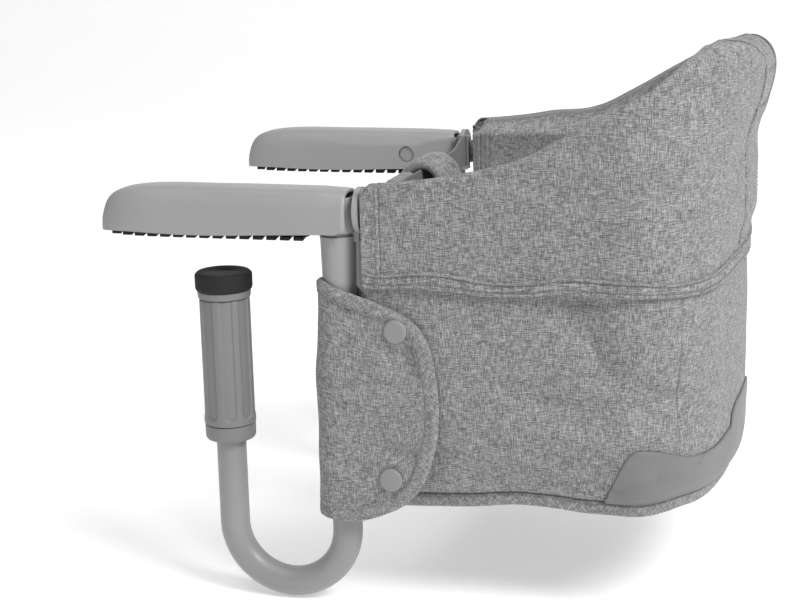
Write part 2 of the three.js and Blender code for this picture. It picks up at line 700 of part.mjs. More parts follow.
function seatLining() {
  return sheet(
    stationsBetween(-1, 1, lining.stations), lining.front,
    (x, station) => [
      ...levelsBetween(lining.bottom, clipBottom, lining.lowShares),
      ...levelsBetween(clip.top, clothTop(x, station), lining.highShares),
    ],
    liningInset, () => cloth.lining);
}

function wallInset(z) {
  const share = (z - seat.bottom) / (tub.top - seat.bottom);
  return tub.inset * fromTable(tub.insetShares, share);
}

function wallThickness(z) {
  const share = (z - seat.bottom) / (tub.top - seat.bottom);
  return lerp(cloth.footThick, cloth.wallThick, smooth(4 * share));
}

function tubPanel(from, to, count) {
  return sheet(
    stationsBetween(from, to, count), seat.front,
    () => levelsBetween(tub.foot, tub.top, tub.rowShares), wallInset, wallThickness);
}

function bottomBinding() {
  return sheet(
    stationsBetween(-1, 1, cover.stations), binding.front,
    () => [seat.bottom, seat.bottom + binding.height], () => binding.inset, () => binding.thick);
}

function wearPatch() {
  const foot = tub.foot + fitGap;
  return sheet(
    stationsBetween(-patch.reachShare, patch.reachShare, patch.stations), seat.front,
    (x, station) => {
      const share = 1 - Math.abs(station) / patch.reachShare;
      const top = lerp(patch.top, patch.rearTop, smooth(share));
      const cornerShare = Math.min(1, share / patch.topInShare + 1 / 4);
      return levelsBetween(foot, lerp(foot, top, cornerShare), patch.rowShares);
    },
    (z) => wallInset(z) - cloth.patch - patch.gap, () => cloth.patch);
}

function backPocket() {
  const middle = (pocket.bottom + pocket.top) / 2;
  const half = (pocket.top - pocket.bottom) / 2;
  return sheet(
    stationsBetween(-pocket.halfShare, pocket.halfShare, pocket.stations), seat.front,
    () => levelsBetween(pocket.bottom, pocket.top, pocket.rowShares),
    (z, station) => {
      const across = 1 - (station / pocket.halfShare) ** 2;
      const up = 1 - ((z - middle) / half) ** 2;
      return coverInset(z) - fitGap - cloth.pocket - pocket.bulge * Math.sqrt(Math.max(0, across * up));
    },
    () => cloth.pocket);
}

function topRoll() {
  const stations = stationsBetween(-roll.reachShare, roll.reachShare, roll.stations);
  const step = stations[1] - stations[0];
  const rings = stations.map((station) => {
    const size = rollSize(station);
    const along = rollPlace(station + step).sub(rollPlace(station - step));
    const out = point(along.y, -along.x, 0).normalize();
    return circlePoints(size, roll.sides).map(({ x, y }) => rollPlace(station)
      .addScaledVector(out, x * roll.depth).add(point(0, 0, y * roll.height)));
  });
  return cut(loft(rings), pipe(hoopPath(), { ...hoop, radius: hoop.radius + fitGap, wall: 0 }));
}

function closedPlan(inset, front, count) {
  const rim = stationsBetween(-1, 1, count).map((station) => planPoint(station, inset, front));
  return rim.map(({ x, y }) => new THREE.Vector2(x, y));
}

function seatCushion() {
  const low = seat.bottom + base.thick + board.thick + 2 * fitGap;
  return loft(cushion.layerShares.map(([up, inward]) => {
    const inset = cushion.inset + cushion.spread * inward;
    const front = cushion.front + cushion.spread * inward;
    return closedPlan(inset, front, cushion.sideStations).map(({ x, y }) => point(x, y, low + cushion.crown * up));
  }));
}

// Flap: starts on the inside of the side panel, passes in front of the leg and comes back outside
function flapPath() {
  const { wrapRadius } = flap;
  const inner = [flap.seamX, (flap.seamX + seat.front) / 2, seat.front].map((x) => ({ x, y: 0, share: 0 }));
  const arc = stationsBetween(1 / 3, 3 / 2, flap.arcSteps).map((turns) => ({
    x: wrapRadius * Math.cos(turns * Math.PI), y: wrapRadius * Math.sin(turns * Math.PI), share: 0,
  }));
  const outer = flap.outlineShares.slice(1).map(([share]) => ({
    x: flap.reach * share, y: -lerp(wrapRadius, flap.outerLift, share), share,
  }));
  return { path: [...inner, ...arc, ...outer], innerCount: inner.length };
}

function insideWall(z) {
  return legSpacing / 2 - seat.halfWidth + wallInset(z) + wallThickness(z) + cloth.flap / 2 + flap.innerGap;
}

function legFlap() {
  const { path, innerCount } = flapPath();
  const tall = flap.top - flap.bottom;
  const table = (column) => flap.outlineShares.map((row) => [row[0], row[column]]);
  const rows = (offset) => path.map((place, i) => {
    const before = path[Math.max(0, i - 1)];
    const after = path[Math.min(path.length - 1, i + 1)];
    const isInner = i < innerCount;
    const out = isInner ? new THREE.Vector2(0, 1)
      : new THREE.Vector2(after.y - before.y, before.x - after.x).normalize();
    const topShare = isInner ? flap.innerTopShare : fromTable(table(1), place.share);
    const bottomShare = isInner ? flap.innerBottomShare : fromTable(table(2), place.share);
    const [low, high] = [flap.bottom + tall * bottomShare, flap.top - tall * topShare];
    return stationsBetween(low, high, flap.rows).map((z) => point(
      place.x + out.x * offset, (isInner ? insideWall(z) : place.y) + out.y * offset, z));
  });
  return slab(rows(cloth.flap / 2), rows(-cloth.flap / 2));
}

function snapCap([x, z]) {
  const face = -lerp(flap.wrapRadius, flap.outerLift, x / flap.reach) - cloth.flap / 2 - fitGap;
  const { radius, height } = snap;
  const dome = turned([
    [0, 0], [radius, 0], [radius, height / 3], [radius * Math.cos(Math.PI / 5), height * Math.cos(Math.PI / 6)], [0, height],
  ], snap.sides);
  return dome.rotateX(Math.PI / 2).translate(x, face, z);
}

function crotchStrap() {
  const foot = seat.bottom + base.thick + fitGap;
  const top = crotch.loopZ - crotch.loopHalfHeight - fitGap;
  const rows = (offset) => stationsBetween(0, 1, crotch.rows).map((share) => {
    const x = lerp(crotch.footX, crotch.loopX, share) - crotch.bow * Math.sin(Math.PI * share);
    const z = lerp(foot, top, share);
    return [-1, 0, 1].map((side) => point(x + offset, side * crotch.halfWidth, z));
  });
  return slab(rows(crotch.thick / 2), rows(-crotch.thick / 2));
}

function crotchLoop() {
  const oval = (inset) => circlePoints(1, crotch.sides).map(({ x, y }) => new THREE.Vector2(
    crotch.loopX + x * (crotch.loopHalfDepth - inset), crotch.loopZ + y * (crotch.loopHalfHeight - inset)));
  return plate(oval(0), -crotch.halfWidth, crotch.halfWidth, [oval(crotch.loopWall)])
    .rotateX(Math.PI / 2);
}

// Waist belt: webbing on edge between the sockets' lugs, through the crotch loop
function beltPlace(y) {
  const reach = legSpacing / 2 - socket.lugReach;
  const share = 1 - Math.min(1, Math.abs(y) / reach);
  return point(
    lerp(belt.anchorX, belt.middleX, smooth(2 * share)), y, lerp(belt.anchorZ, belt.middleZ, smooth(2 * share)));
}

function beltStrip(from, to) {
  const rows = (offset) => stationsBetween(from, to, belt.steps).map((y) => {
    const middle = beltPlace(y);
    return [-1, 1].map((up) => point(middle.x + offset, y, middle.z + (up * belt.height) / 2));
  });
  return slab(rows(belt.thick / 2), rows(-belt.thick / 2));
}

const tongueStart = buckle.start + buckle.bodyLength + fitGap;

function buckleSocket() {
  const { x, z } = beltPlace((buckle.start + tongueStart) / 2);
  const [half, tall] = [buckle.bodyDepth / 2, buckle.bodyHeight / 2];
  const body = block(point(x - half, buckle.start, z - tall), point(x + half, buckle.start + buckle.bodyLength, z + tall));
  const mouth = block(
    point(x - half + buckle.wall, buckle.start + 2 * buckle.wall, z - tall + buckle.wall),
    point(x + half - buckle.wall, buckle.start + buckle.bodyLength + overrun, z + tall - buckle.wall));
  return cut(body, mouth);
}

function buckleTongue() {
  const { x, z } = beltPlace((buckle.start + tongueStart) / 2);
  const [half, tall] = [buckle.bodyDepth / 2, buckle.bodyHeight / 2];
  const head = block(point(x - half, tongueStart, z - tall), point(x + half, tongueStart + buckle.tongueLength, z + tall));
  const prongs = [-1, 0, 1].map((side) => {
    const middle = z + side * buckle.prongGap;
    return block(
      point(x - buckle.prongDepth / 2, tongueStart - buckle.prongLength, middle - buckle.prongHeight / 2),
      point(x + buckle.prongDepth / 2, tongueStart + fitGap, middle + buckle.prongHeight / 2));
  });
  return joined(head, ...prongs);
}

// Assembly
const chair = new THREE.Group();
const sides = [{ name: 'left', sign: -1 }, { name: 'right', sign: 1 }];

for (const { name, sign } of sides) {
  const handed = (geometry) => (sign < 0 ? geometry : mirrored(geometry));
  const atLeg = new THREE.Group();
  atLeg.position.set(0, (sign * legSpacing) / 2, 0);
  atLeg.add(piece(`arm_cover_${name}`, handed(armCover()), 'plastic'));
  atLeg.add(piece(`arm_core_${name}`, handed(armCore()), 'darkPlastic'));
  atLeg.add(piece(`arm_pad_${name}`, handed(armPad()), 'rubber'));
  atLeg.add(piece(`arm_screw_${name}`, armScrew(), 'steel'));
  atLeg.add(piece(`lock_button_${name}`, handed(lockButton()), 'darkPlastic'));
  atLeg.add(piece(`lock_spring_${name}`, handed(lockSpring()), 'steel'));
  atLeg.add(piece(`hook_tube_${name}`, pipe(new HookPath(), hook), 'lacquer'));
  atLeg.add(piece(`corner_socket_${name}`, handed(cornerSocket()), 'plastic'));
  atLeg.add(piece(`leg_flap_${name}`, handed(legFlap()), 'fabric'));
  snap.places.forEach((place, i) => {
    atLeg.add(piece(`flap_snap_${snap.names[i]}_${name}`, handed(snapCap(place)), 'plastic'));
  });

  const atClamp = new THREE.Group();
  atClamp.position.set(-hook.reach, 0, 0);
  atClamp.add(piece(`clamp_foot_${name}`, clampFoot(), 'rubber'));
  atClamp.add(piece(`clamp_plate_${name}`, clampPlate(), 'darkPlastic'));
  atClamp.add(piece(`clamp_knob_${name}`, clampKnob(), 'plastic'));
  atClamp.add(piece(`knob_collar_${name}`, knobCollar(), 'plastic'));
  atClamp.add(piece(`clamp_spindle_${name}`, clampSpindle(), 'steel'));
  atClamp.add(piece(`spindle_nut_${name}`, spindleNut(), 'darkPlastic'));
  atLeg.add(atClamp);
  chair.add(atLeg);

  chair.add(piece(`hoop_clip_${name}`, hoopClip(sign), 'darkPlastic'));
  const seam = sign * (tub.seamShare + tub.seamGapShare);
  chair.add(piece(`side_panel_${name}`, tubPanel(sign, seam, tub.sideStations), 'fabric'));
}

chair.add(piece('seat_frame_tube', pipe(new FramePath(), frame), 'lacquer'));
chair.add(piece('back_hoop', pipe(hoopPath(), hoop), 'steel'));
chair.add(piece('upper_cover', upperCover(), 'fabric'));
chair.add(piece('seat_lining', seatLining(), 'liner'));
chair.add(piece('back_panel', tubPanel(-tub.seamShare, tub.seamShare, tub.backStations), 'fabric'));
chair.add(piece('bottom_binding', bottomBinding(), 'fabric'));
chair.add(piece('wear_patch', wearPatch(), 'coated'));
chair.add(piece('back_pocket', backPocket(), 'fabric'));
chair.add(piece('top_roll', topRoll(), 'fabric'));
chair.add(piece('seat_base', plate(closedPlan(base.inset, base.front, cover.stations),
  seat.bottom, seat.bottom + base.thick), 'fabric'));
chair.add(piece('seat_board', plate(closedPlan(board.inset, board.front, cushion.sideStations),
  seat.bottom + base.thick + fitGap, seat.bottom + base.thick + fitGap + board.thick), 'board'));
chair.add(piece('seat_cushion', seatCushion(), 'liner'));
chair.add(piece('crotch_strap', crotchStrap(), 'fabric'));
chair.add(piece('crotch_loop', crotchLoop(), 'fabric'));

const lugFace = legSpacing / 2 - socket.lugReach - fitGap;
chair.add(piece('waist_belt_left', beltStrip(-lugFace, buckle.start - fitGap), 'webbing'));
chair.add(piece('waist_belt_right', beltStrip(tongueStart + buckle.tongueLength + fitGap, lugFace), 'webbing'));
chair.add(piece('buckle_socket', buckleSocket(), 'darkPlastic'));
chair.add(piece('buckle_tongue', buckleTongue(), 'darkPlastic'));

export default chair;
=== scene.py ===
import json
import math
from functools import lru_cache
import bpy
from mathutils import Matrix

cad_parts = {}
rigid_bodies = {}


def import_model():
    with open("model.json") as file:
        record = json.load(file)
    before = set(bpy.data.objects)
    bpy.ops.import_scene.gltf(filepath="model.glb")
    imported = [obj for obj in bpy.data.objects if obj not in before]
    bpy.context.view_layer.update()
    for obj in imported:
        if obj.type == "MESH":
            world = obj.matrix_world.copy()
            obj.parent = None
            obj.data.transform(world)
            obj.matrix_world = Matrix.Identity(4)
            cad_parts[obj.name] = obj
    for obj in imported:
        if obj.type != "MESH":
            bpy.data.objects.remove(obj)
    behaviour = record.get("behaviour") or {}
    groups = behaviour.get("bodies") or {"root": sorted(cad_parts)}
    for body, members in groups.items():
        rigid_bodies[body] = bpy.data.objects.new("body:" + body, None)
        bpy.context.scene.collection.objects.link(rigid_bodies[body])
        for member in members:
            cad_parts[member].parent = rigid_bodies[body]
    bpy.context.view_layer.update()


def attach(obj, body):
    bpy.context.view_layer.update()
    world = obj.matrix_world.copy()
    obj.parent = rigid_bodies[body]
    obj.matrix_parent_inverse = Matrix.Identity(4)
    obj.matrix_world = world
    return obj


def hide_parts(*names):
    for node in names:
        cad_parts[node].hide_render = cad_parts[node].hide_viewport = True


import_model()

# Hook-on table chair: moulded arms that lie on a table, bent tubes with screw clamps below them,
# and a sewn cloth seat. Lengths are in millimetres until a piece is finished, then in metres.
# X runs from the table towards the back of the seat, Y across it, and Z is up from the table top.
from types import SimpleNamespace as Sizes

import bmesh
import bpy
from mathutils import Matrix, Vector, noise

MM = 0.001
FULL_TURN = 2 * math.pi

# Sizes of the whole chair, and of the pieces that share them
LEG = Sizes(apart=150, radius=11, wall=1.5, top=24.5, reach=89, depth=263, free_end=-112)
SEAT = Sizes(front=21.4, round_start=200, round_reach=81, roundness=2.15, half_width=165, side_top=41,
             back_top=132, back_edge=268, bottom=-199.5, round_share=0.55, back_to=0.38, back_fade=0.3,
             bulge_to=0.62, bulge_fade=0.25)
SIDES = {"left": -1, "right": 1}
# How the top edge of the cloth rises from front to back
EDGE_SHARES = [(0, 0), (0.16, 0.038), (0.32, 0.11), (0.46, 0.21), (0.573, 0.363), (0.683, 0.527),
               (0.805, 0.692), (0.886, 0.802), (0.935, 0.879), (0.976, 0.956), (1, 1)]


# Small helpers
def lerp(low, high, share):
    return low + (high - low) * share


def clamped(share):
    return min(1, max(0, share))


def smooth(share):
    share = clamped(share)
    return share * share * (3 - 2 * share)


def spaced(start, end, count):
    """Evenly spaced values from just after the start up to the end."""
    return [lerp(start, end, i / count) for i in range(1, count + 1)]


def table_at(table, place):
    """Straight-line reading of a table of (place, value) rows."""
    if place <= table[0][0]:
        return table[0][1]
    for (start, low), (end, high) in zip(table, table[1:]):
        if place <= end:
            return lerp(low, high, (place - start) / (end - start))
    return table[-1][1]


KNOWN_SLOPES = {}


def slopes_of(table):
    """The slope of a smooth table at each of its rows, worked out once for each table."""
    if id(table) not in KNOWN_SLOPES:
        steps = [(b[1] - a[1]) / (b[0] - a[0]) for a, b in zip(table, table[1:])]
        slopes = [steps[0]]
        for before, after in zip(steps, steps[1:]):
            slopes.append(0 if before * after <= 0 else 2 * before * after / (before + after))
        KNOWN_SLOPES[id(table)] = slopes + [steps[-1]]
    return KNOWN_SLOPES[id(table)]


def curve_at(table, place):
    """Smooth reading of a table of (place, value) rows, with no overshoot."""
    place = min(max(place, table[0][0]), table[-1][0])
    slopes = slopes_of(table)
    for i, ((start, low), (end, high)) in enumerate(zip(table, table[1:])):
        if place <= end:
            wide = end - start
            share = (place - start) / wide
            rest = 1 - share
            return (low * (1 + 2 * share) * rest * rest + high * (3 - 2 * share) * share * share
                    + slopes[i] * wide * share * rest * rest - slopes[i + 1] * wide * share * share * rest)
    return table[-1][1]


class Line:
    """A smooth line through points, read by share of its length."""

    def __init__(self, points):
        steps = 12
        points = [Vector(point) for point in points]
        guide = points[:1] + points + points[-1:]
        dense = []
        for a, b, c, d in zip(guide, guide[1:], guide[2:], guide[3:]):
            for i in range(steps):
                t = i / steps
                dense.append(0.5 * (2 * b + (c - a) * t + (2 * a - 5 * b + 4 * c - d) * t * t
                                    + (3 * b - a - 3 * c + d) * t ** 3))
        dense.append(guide[-2])
        self.rows = [(0.0, dense[0])]
        for before, after in zip(dense, dense[1:]):
            self.rows.append((self.rows[-1][0] + (after - before).length, after))
        self.length = self.rows[-1][0]

    def at(self, share):
        reach = clamped(share) * self.length
        low, high = 0, len(self.rows) - 1
        while high - low > 1:
            middle = (low + high) // 2
            if self.rows[middle][0] <= reach:
                low = middle
            else:
                high = middle
        (start, before), (end, after) = self.rows[low], self.rows[high]
        return before.lerp(after, (reach - start) / max(end - start, 1e-9))

    def along(self, share):
        step = 1 / len(self.rows)
        return (self.at(share + step) - self.at(share - step)).normalized()


# Colours and finishes
def hex_colour(text):
    parts = [int(text[i:i + 2], 16) / 255 for i in (0, 2, 4)]
    return (*(p / 12.92 if p <= 0.04045 else ((p + 0.055) / 1.055) ** 2.4 for p in parts), 1)


def set_sockets(tree, made, inputs):
    """Sets each socket of a node, or links it where its value is a socket of another node."""
    for name, value in inputs.items():
        if isinstance(value, bpy.types.NodeSocket):
            tree.links.new(value, made.inputs[name])
        else:
            made.inputs[name].default_value = value


def add_node(tree, kind, inputs=None, **settings):
    made = tree.nodes.new(kind)
    for name, value in settings.items():
        setattr(made, name, value)
    set_sockets(tree, made, inputs or {})
    return made


def new_finish(name, **shader):
    """A material with its shader; the sockets of the shader that are the same all over are set here."""
    finish = bpy.data.materials.new(name)
    finish.use_nodes = True
    tree = finish.node_tree
    gloss = tree.nodes["Principled BSDF"]
    set_sockets(tree, gloss, {socket.replace("_", " "): value for socket, value in shader.items()})
    return finish, tree, gloss


def set_ramp(ramp, stops):
    band = ramp.color_ramp
    band.elements[0].position, band.elements[0].color = stops[0]
    band.elements[1].position, band.elements[1].color = stops[-1]
    for place, colour in stops[1:-1]:
        band.elements.new(place).color = colour


# The scale at which a wave texture repeats once a metre
ONE_WAVE = math.pi / 10


def woven_cloth(name, dark, middle, light, turn=0):
    """Melange cloth: light and dark fibres run both ways through a plain weave. A fibre shows as a fleck
    as wide as a thread of 0.42 mm. The weave repeats every two threads, which is too fine for the
    render, so it is drawn a little coarser; lengths in millimetres."""
    thread, fleck, weave, bump = 0.42, 6, 1.0, 0.18
    finish, tree, gloss = new_finish(name, Roughness=0.95, Sheen_Weight=0.12, Sheen_Roughness=0.6,
                                     Specular_IOR_Level=0.2)
    cloth = add_node(tree, "ShaderNodeUVMap", uv_map="cloth").outputs["UV"]
    flat = add_node(tree, "ShaderNodeMapping", {"Vector": cloth, "Rotation": (0, 0, turn)}).outputs["Vector"]
    streaks, waves = [], []
    for wide, deep, wave_way in ((thread, fleck, "X"), (fleck, thread, "Y")):
        drawn = add_node(tree, "ShaderNodeMapping", {
            "Vector": flat, "Scale": (1 / (wide * MM), 1 / (deep * MM), 1)}).outputs["Vector"]
        streaks.append(add_node(tree, "ShaderNodeTexNoise", {
            "Vector": drawn, "Scale": 1, "Detail": 1, "Roughness": 0.5, "Distortion": 0.9}).outputs["Fac"])
        waves.append(add_node(tree, "ShaderNodeTexWave", {
            "Vector": flat, "Scale": ONE_WAVE / (weave * MM), "Distortion": 2,
            "Detail": 1, "Detail Scale": 2}, bands_direction=wave_way).outputs["Fac"])
    both = add_node(tree, "ShaderNodeMath", {0: streaks[0], 1: streaks[1]}, operation="ADD").outputs[0]
    fibres = add_node(tree, "ShaderNodeMath", {0: both, 1: 0.5}, operation="MULTIPLY").outputs[0]
    crossed = add_node(tree, "ShaderNodeMath", {0: waves[0], 1: waves[1]}, operation="MULTIPLY").outputs[0]
    patchy = add_node(tree, "ShaderNodeTexNoise", {"Vector": flat, "Scale": 60, "Detail": 2}).outputs["Fac"]
    tone = fibres
    for layer, share in ((crossed, 0.015), (patchy, 0.05)):
        tone = add_node(tree, "ShaderNodeMath", {0: layer, 1: share, 2: tone},
                        operation="MULTIPLY_ADD").outputs[0]
    height = add_node(tree, "ShaderNodeMath", {0: crossed, 1: 0.4, 2: fibres},
                      operation="MULTIPLY_ADD").outputs[0]
    ramp = add_node(tree, "ShaderNodeValToRGB", {"Fac": tone})
    set_ramp(ramp, [(0.43, hex_colour(dark)), (0.54, hex_colour(middle)), (0.65, hex_colour(light))])
    relief = add_node(tree, "ShaderNodeBump", {"Height": height, "Strength": bump, "Distance": 0.4 * MM})
    set_sockets(tree, gloss, {"Base Color": ramp.outputs["Color"], "Normal": relief.outputs["Normal"]})
    return finish


def coated_cloth(name, dark, light):
    """Coated woven polyester: a smooth satin film, with faint clouding and a fine leathery grain."""
    grain = 0.9
    finish, tree, gloss = new_finish(name, Roughness=0.5, Specular_IOR_Level=0.4)
    cloth = add_node(tree, "ShaderNodeUVMap", uv_map="cloth").outputs["UV"]
    cloud = add_node(tree, "ShaderNodeTexNoise", {"Vector": cloth, "Scale": 30, "Detail": 3})
    ramp = add_node(tree, "ShaderNodeValToRGB", {"Fac": cloud.outputs["Fac"]})
    set_ramp(ramp, [(0.3, hex_colour(dark)), (0.7, hex_colour(light))])
    cells = add_node(tree, "ShaderNodeTexVoronoi", {"Vector": cloth, "Scale": 1 / (grain * MM)})
    relief = add_node(tree, "ShaderNodeBump", {
        "Height": cells.outputs["Distance"], "Strength": 0.06, "Distance": 0.2 * MM})
    set_sockets(tree, gloss, {"Base Color": ramp.outputs["Color"], "Normal": relief.outputs["Normal"]})
    return finish


def belt_webbing(name, dark, light):
    """Polyester webbing: ribs along the belt, crossed by the fine picks of the weft."""
    finish, tree, gloss = new_finish(name, Roughness=0.85, Sheen_Weight=0.15)
    cloth = add_node(tree, "ShaderNodeUVMap", uv_map="cloth").outputs["UV"]
    rib, pick = 1.7, 1.1
    waves = []
    for apart, uneven, way in ((rib, 0.3, "Y"), (pick, 0.6, "X")):
        waves.append(add_node(tree, "ShaderNodeTexWave", {
            "Vector": cloth, "Scale": ONE_WAVE / (apart * MM), "Distortion": uneven},
            bands_direction=way).outputs["Fac"])
    both = add_node(tree, "ShaderNodeMath", {0: waves[0], 1: waves[1]}, operation="MULTIPLY").outputs[0]
    ramp = add_node(tree, "ShaderNodeValToRGB", {"Fac": both})
    set_ramp(ramp, [(0.0, hex_colour(dark)), (0.8, hex_colour(light))])
    relief = add_node(tree, "ShaderNodeBump", {"Height": both, "Strength": 0.6, "Distance": 0.4 * MM})
    set_sockets(tree, gloss, {"Base Color": ramp.outputs["Color"], "Normal": relief.outputs["Normal"]})
    return finish


def moulded(name, dark, light, rough, grain=0.7, bump=0.08, **shader):
    """A moulded or coated skin: its colour clouds a little, its gloss varies, and a fine grain of the
    given size in millimetres breaks up the highlights."""
    cloud, uneven = 18, 0.05
    finish, tree, gloss = new_finish(name, **shader)
    place = add_node(tree, "ShaderNodeTexCoord").outputs["Object"]
    soft = add_node(tree, "ShaderNodeTexNoise", {"Vector": place, "Scale": cloud, "Detail": 3})
    ramp = add_node(tree, "ShaderNodeValToRGB", {"Fac": soft.outputs["Fac"]})
    set_ramp(ramp, [(0.3, hex_colour(dark)), (0.7, hex_colour(light))])
    fine = add_node(tree, "ShaderNodeTexNoise", {
        "Vector": place, "Scale": 1 / (grain * MM), "Detail": 2}).outputs["Fac"]
    sheen = add_node(tree, "ShaderNodeMapRange", {
        "Value": fine, "To Min": rough - uneven, "To Max": rough + uneven})
    relief = add_node(tree, "ShaderNodeBump", {"Height": fine, "Strength": bump, "Distance": 0.3 * MM})
    set_sockets(tree, gloss, {"Base Color": ramp.outputs["Color"], "Roughness": sheen.outputs["Result"],
                              "Normal": relief.outputs["Normal"]})
    return finish


# Each finish is named for the real material, and for painted shade where it has some; the comment says what
# it gives the eye
FINISH = {
    # Polypropylene from a spark-eroded mould: even mid grey, satin, no sharp highlight
    "grey_plastic": moulded("polypropylene_satin_grey", "989898", "9c9c9c", 0.46),
    # Glass-filled nylon: a darker grey, more matt
    "dark_plastic": moulded("nylon_matt_grey", "77787a", "7e7f81", 0.55),
    # Thermoplastic rubber: near black and matt, so the ribs show only by their edges
    "black_rubber": moulded("rubber_matt_black", "151516", "1c1c1d", 0.8, grain=1.1),
    # Zinc-plated steel: a cool bright metal with a soft, slightly uneven gloss
    "steel": moulded("steel_zinc_plated", "b4b6b9", "c2c4c6", 0.32, Metallic=1.0),
    # Powder coat on steel tube: satin grey with a faint orange-peel texture
    "grey_lacquer": moulded("powder_coat_satin_grey", "8c8c8d", "929293", 0.38, grain=1.6, bump=0.1),
    # Melange polyester, plain weave: light grey with darker and lighter fibres both ways
    "melange_fabric": woven_cloth("polyester_melange_weave", "57575a", "858586", "b1b1b1"),
    # The same cloth cut on the bias for the bindings, so that its weave runs diagonally
    "melange_bias": woven_cloth("polyester_melange_bias", "5c5c5e", "858586", "adadad", turn=math.pi / 4),
    # The same plastic, textured and darker, for the knob and its collar; the darkening is painted shade,
    # standing in for the shadow of the table top above them
    "knob_plastic_painted_shade": moulded("polypropylene_grey_painted_shade", "7a7a7b", "7f7f80", 0.5),
    # Acetal press studs: the plastic's grey but a little darker and quite matt
    "stud_plastic": moulded("acetal_matt_grey", "888889", "8c8c8d", 0.62),
    # The same melange cloth on the inside, a little lighter
    "lining_fabric": woven_cloth("polyester_melange_lining", "5a5a5c", "8b8b8c", "b4b4b4"),
    # Spun sewing thread in the cloth's grey, a little darker
    "thread": moulded("polyester_thread_grey", "68686a", "787879", 0.8),
    # Coated polyester: a smooth film that hides the weave
    "coated_fabric": coated_cloth("polyester_coated_grey", "747475", "7b7b7c"),
    # Polyester webbing: ribbed along its length, in the grey of the plastic
    "webbing": belt_webbing("polyester_webbing_grey", "5e5f61", "8d8e90"),
    # Pressed polypropylene board: dark and matt
    "board": moulded("polypropylene_board_dark", "3a3b3d", "434446", 0.7),
}


# Making pieces
def new_object(name, data):
    made = bpy.data.objects.new(name, data)
    bpy.context.collection.objects.link(made)
    return made


def smooth_mesh(name, bm, material):
    mesh = bpy.data.meshes.new(name)
    bm.to_mesh(mesh)
    bm.free()
    mesh.shade_smooth()
    mesh.materials.append(material)
    return mesh


def finished(name, bm, finish, body="seat", nodes=(), side=None, open_sheet=False, wall=0, bevel=0,
             merge=0.002):
    """Turns a mesh in millimetres into a piece: closes it, and gives it its wall, rounded edges, finish
    and body. A piece that is made for a side is placed there, and its name, nodes and body get the side."""
    if side:
        name, *nodes = [f"{word}_{side}" for word in (name, *nodes)]
        if body != "seat":
            body = f"{body}_{side}"
        for vert in bm.verts:
            vert.co.y = SIDES[side] * (LEG.apart - vert.co.y)
    if merge:
        bmesh.ops.remove_doubles(bm, verts=bm.verts, dist=merge)
    if open_sheet:
        if side == "right":
            bmesh.ops.reverse_faces(bm, faces=bm.faces)
    else:
        bmesh.ops.recalc_face_normals(bm, faces=bm.faces)
    bmesh.ops.scale(bm, vec=(MM, MM, MM), verts=bm.verts)
    piece = new_object(name, smooth_mesh(name, bm, FINISH[finish]))
    if wall:
        thick = piece.modifiers.new("wall", "SOLIDIFY")
        thick.thickness = wall * MM
        thick.offset = -1
    if bevel:
        edge = piece.modifiers.new("edges", "BEVEL")
        edge.width = bevel * MM
        edge.segments = 3
        edge.limit_method = "ANGLE"
        edge.angle_limit = math.radians(40)
        edge.harden_normals = True
    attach(piece, body)
    if nodes:
        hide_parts(*nodes)
    return piece


def sheet_mesh(columns, rows, place, flat):
    """A grid whose corners go where place(across, up) says, both from 0 to 1, with its weave laid out by
    flat(across, up) in millimetres."""
    bm = bmesh.new()
    bmesh.ops.create_grid(bm, x_segments=columns, y_segments=rows, size=0.5)
    layer = bm.loops.layers.uv.new("cloth")
    for face in bm.faces:
        for loop in face.loops:
            across, up = flat(loop.vert.co.x + 0.5, loop.vert.co.y + 0.5)
            loop[layer].uv = (across * MM, up * MM)
    for vert in bm.verts:
        vert.co = place(clamped(vert.co.x + 0.5), clamped(vert.co.y + 0.5))
    return bm


def turned(profile, steps=64, turn=FULL_TURN):
    """Spins a closed profile of (radius, height) about the upright axis."""
    bm = bmesh.new()
    corners = [bm.verts.new((radius, 0, height)) for radius, height in profile]
    edges = [bm.edges.new(pair) for pair in zip(corners, corners[1:] + corners[:1])]
    whole = turn == FULL_TURN
    start = corners if whole else [bm.faces.new(corners)]
    bmesh.ops.spin(bm, geom=(corners + edges) if whole else (start + edges + corners), cent=(0, 0, 0),
                   axis=(0, 0, 1), angle=turn, steps=steps, use_merge=whole)
    bmesh.ops.dissolve_degenerate(bm, edges=bm.edges, dist=1e-4)
    return bm


def rounded(points, radii, steps=5):
    """A closed profile with each corner rounded to its own radius, or left sharp where that is 0."""
    result = []
    for i, (corner, radius) in enumerate(zip(points, radii)):
        corner = Vector(corner)
        before = Vector(points[i - 1]) - corner
        after = Vector(points[(i + 1) % len(points)]) - corner
        if not radius:
            result.append(tuple(corner))
            continue
        half = before.angle(after) / 2
        reach = min(radius / math.tan(half), before.length * 0.49, after.length * 0.49)
        start = corner + before.normalized() * reach
        end = corner + after.normalized() * reach
        for k in range(steps + 1):
            t = k / steps
            result.append(tuple(start * (1 - t) ** 2 + corner * 2 * t * (1 - t) + end * t * t))
    return result


def moved(bm, matrix):
    bmesh.ops.transform(bm, matrix=matrix, verts=bm.verts)
    return bm


def box_mesh(low, high):
    """A box between two corners."""
    bm = bmesh.new()
    middle = [(a + b) / 2 for a, b in zip(low, high)]
    size = [b - a for a, b in zip(low, high)]
    place = Matrix.Translation(middle) @ Matrix.Diagonal((*size, 1))
    bmesh.ops.create_cube(bm, size=1, matrix=place)
    return bm


def joined(*shapes):
    """One mesh from several shapes."""
    whole = bmesh.new()
    for shape in shapes:
        part = bpy.data.meshes.new("part")
        shape.to_mesh(part)
        shape.free()
        whole.from_mesh(part)
        bpy.data.meshes.remove(part)
    return whole


STITCH = Sizes(pitch=3.2, length=2.3)


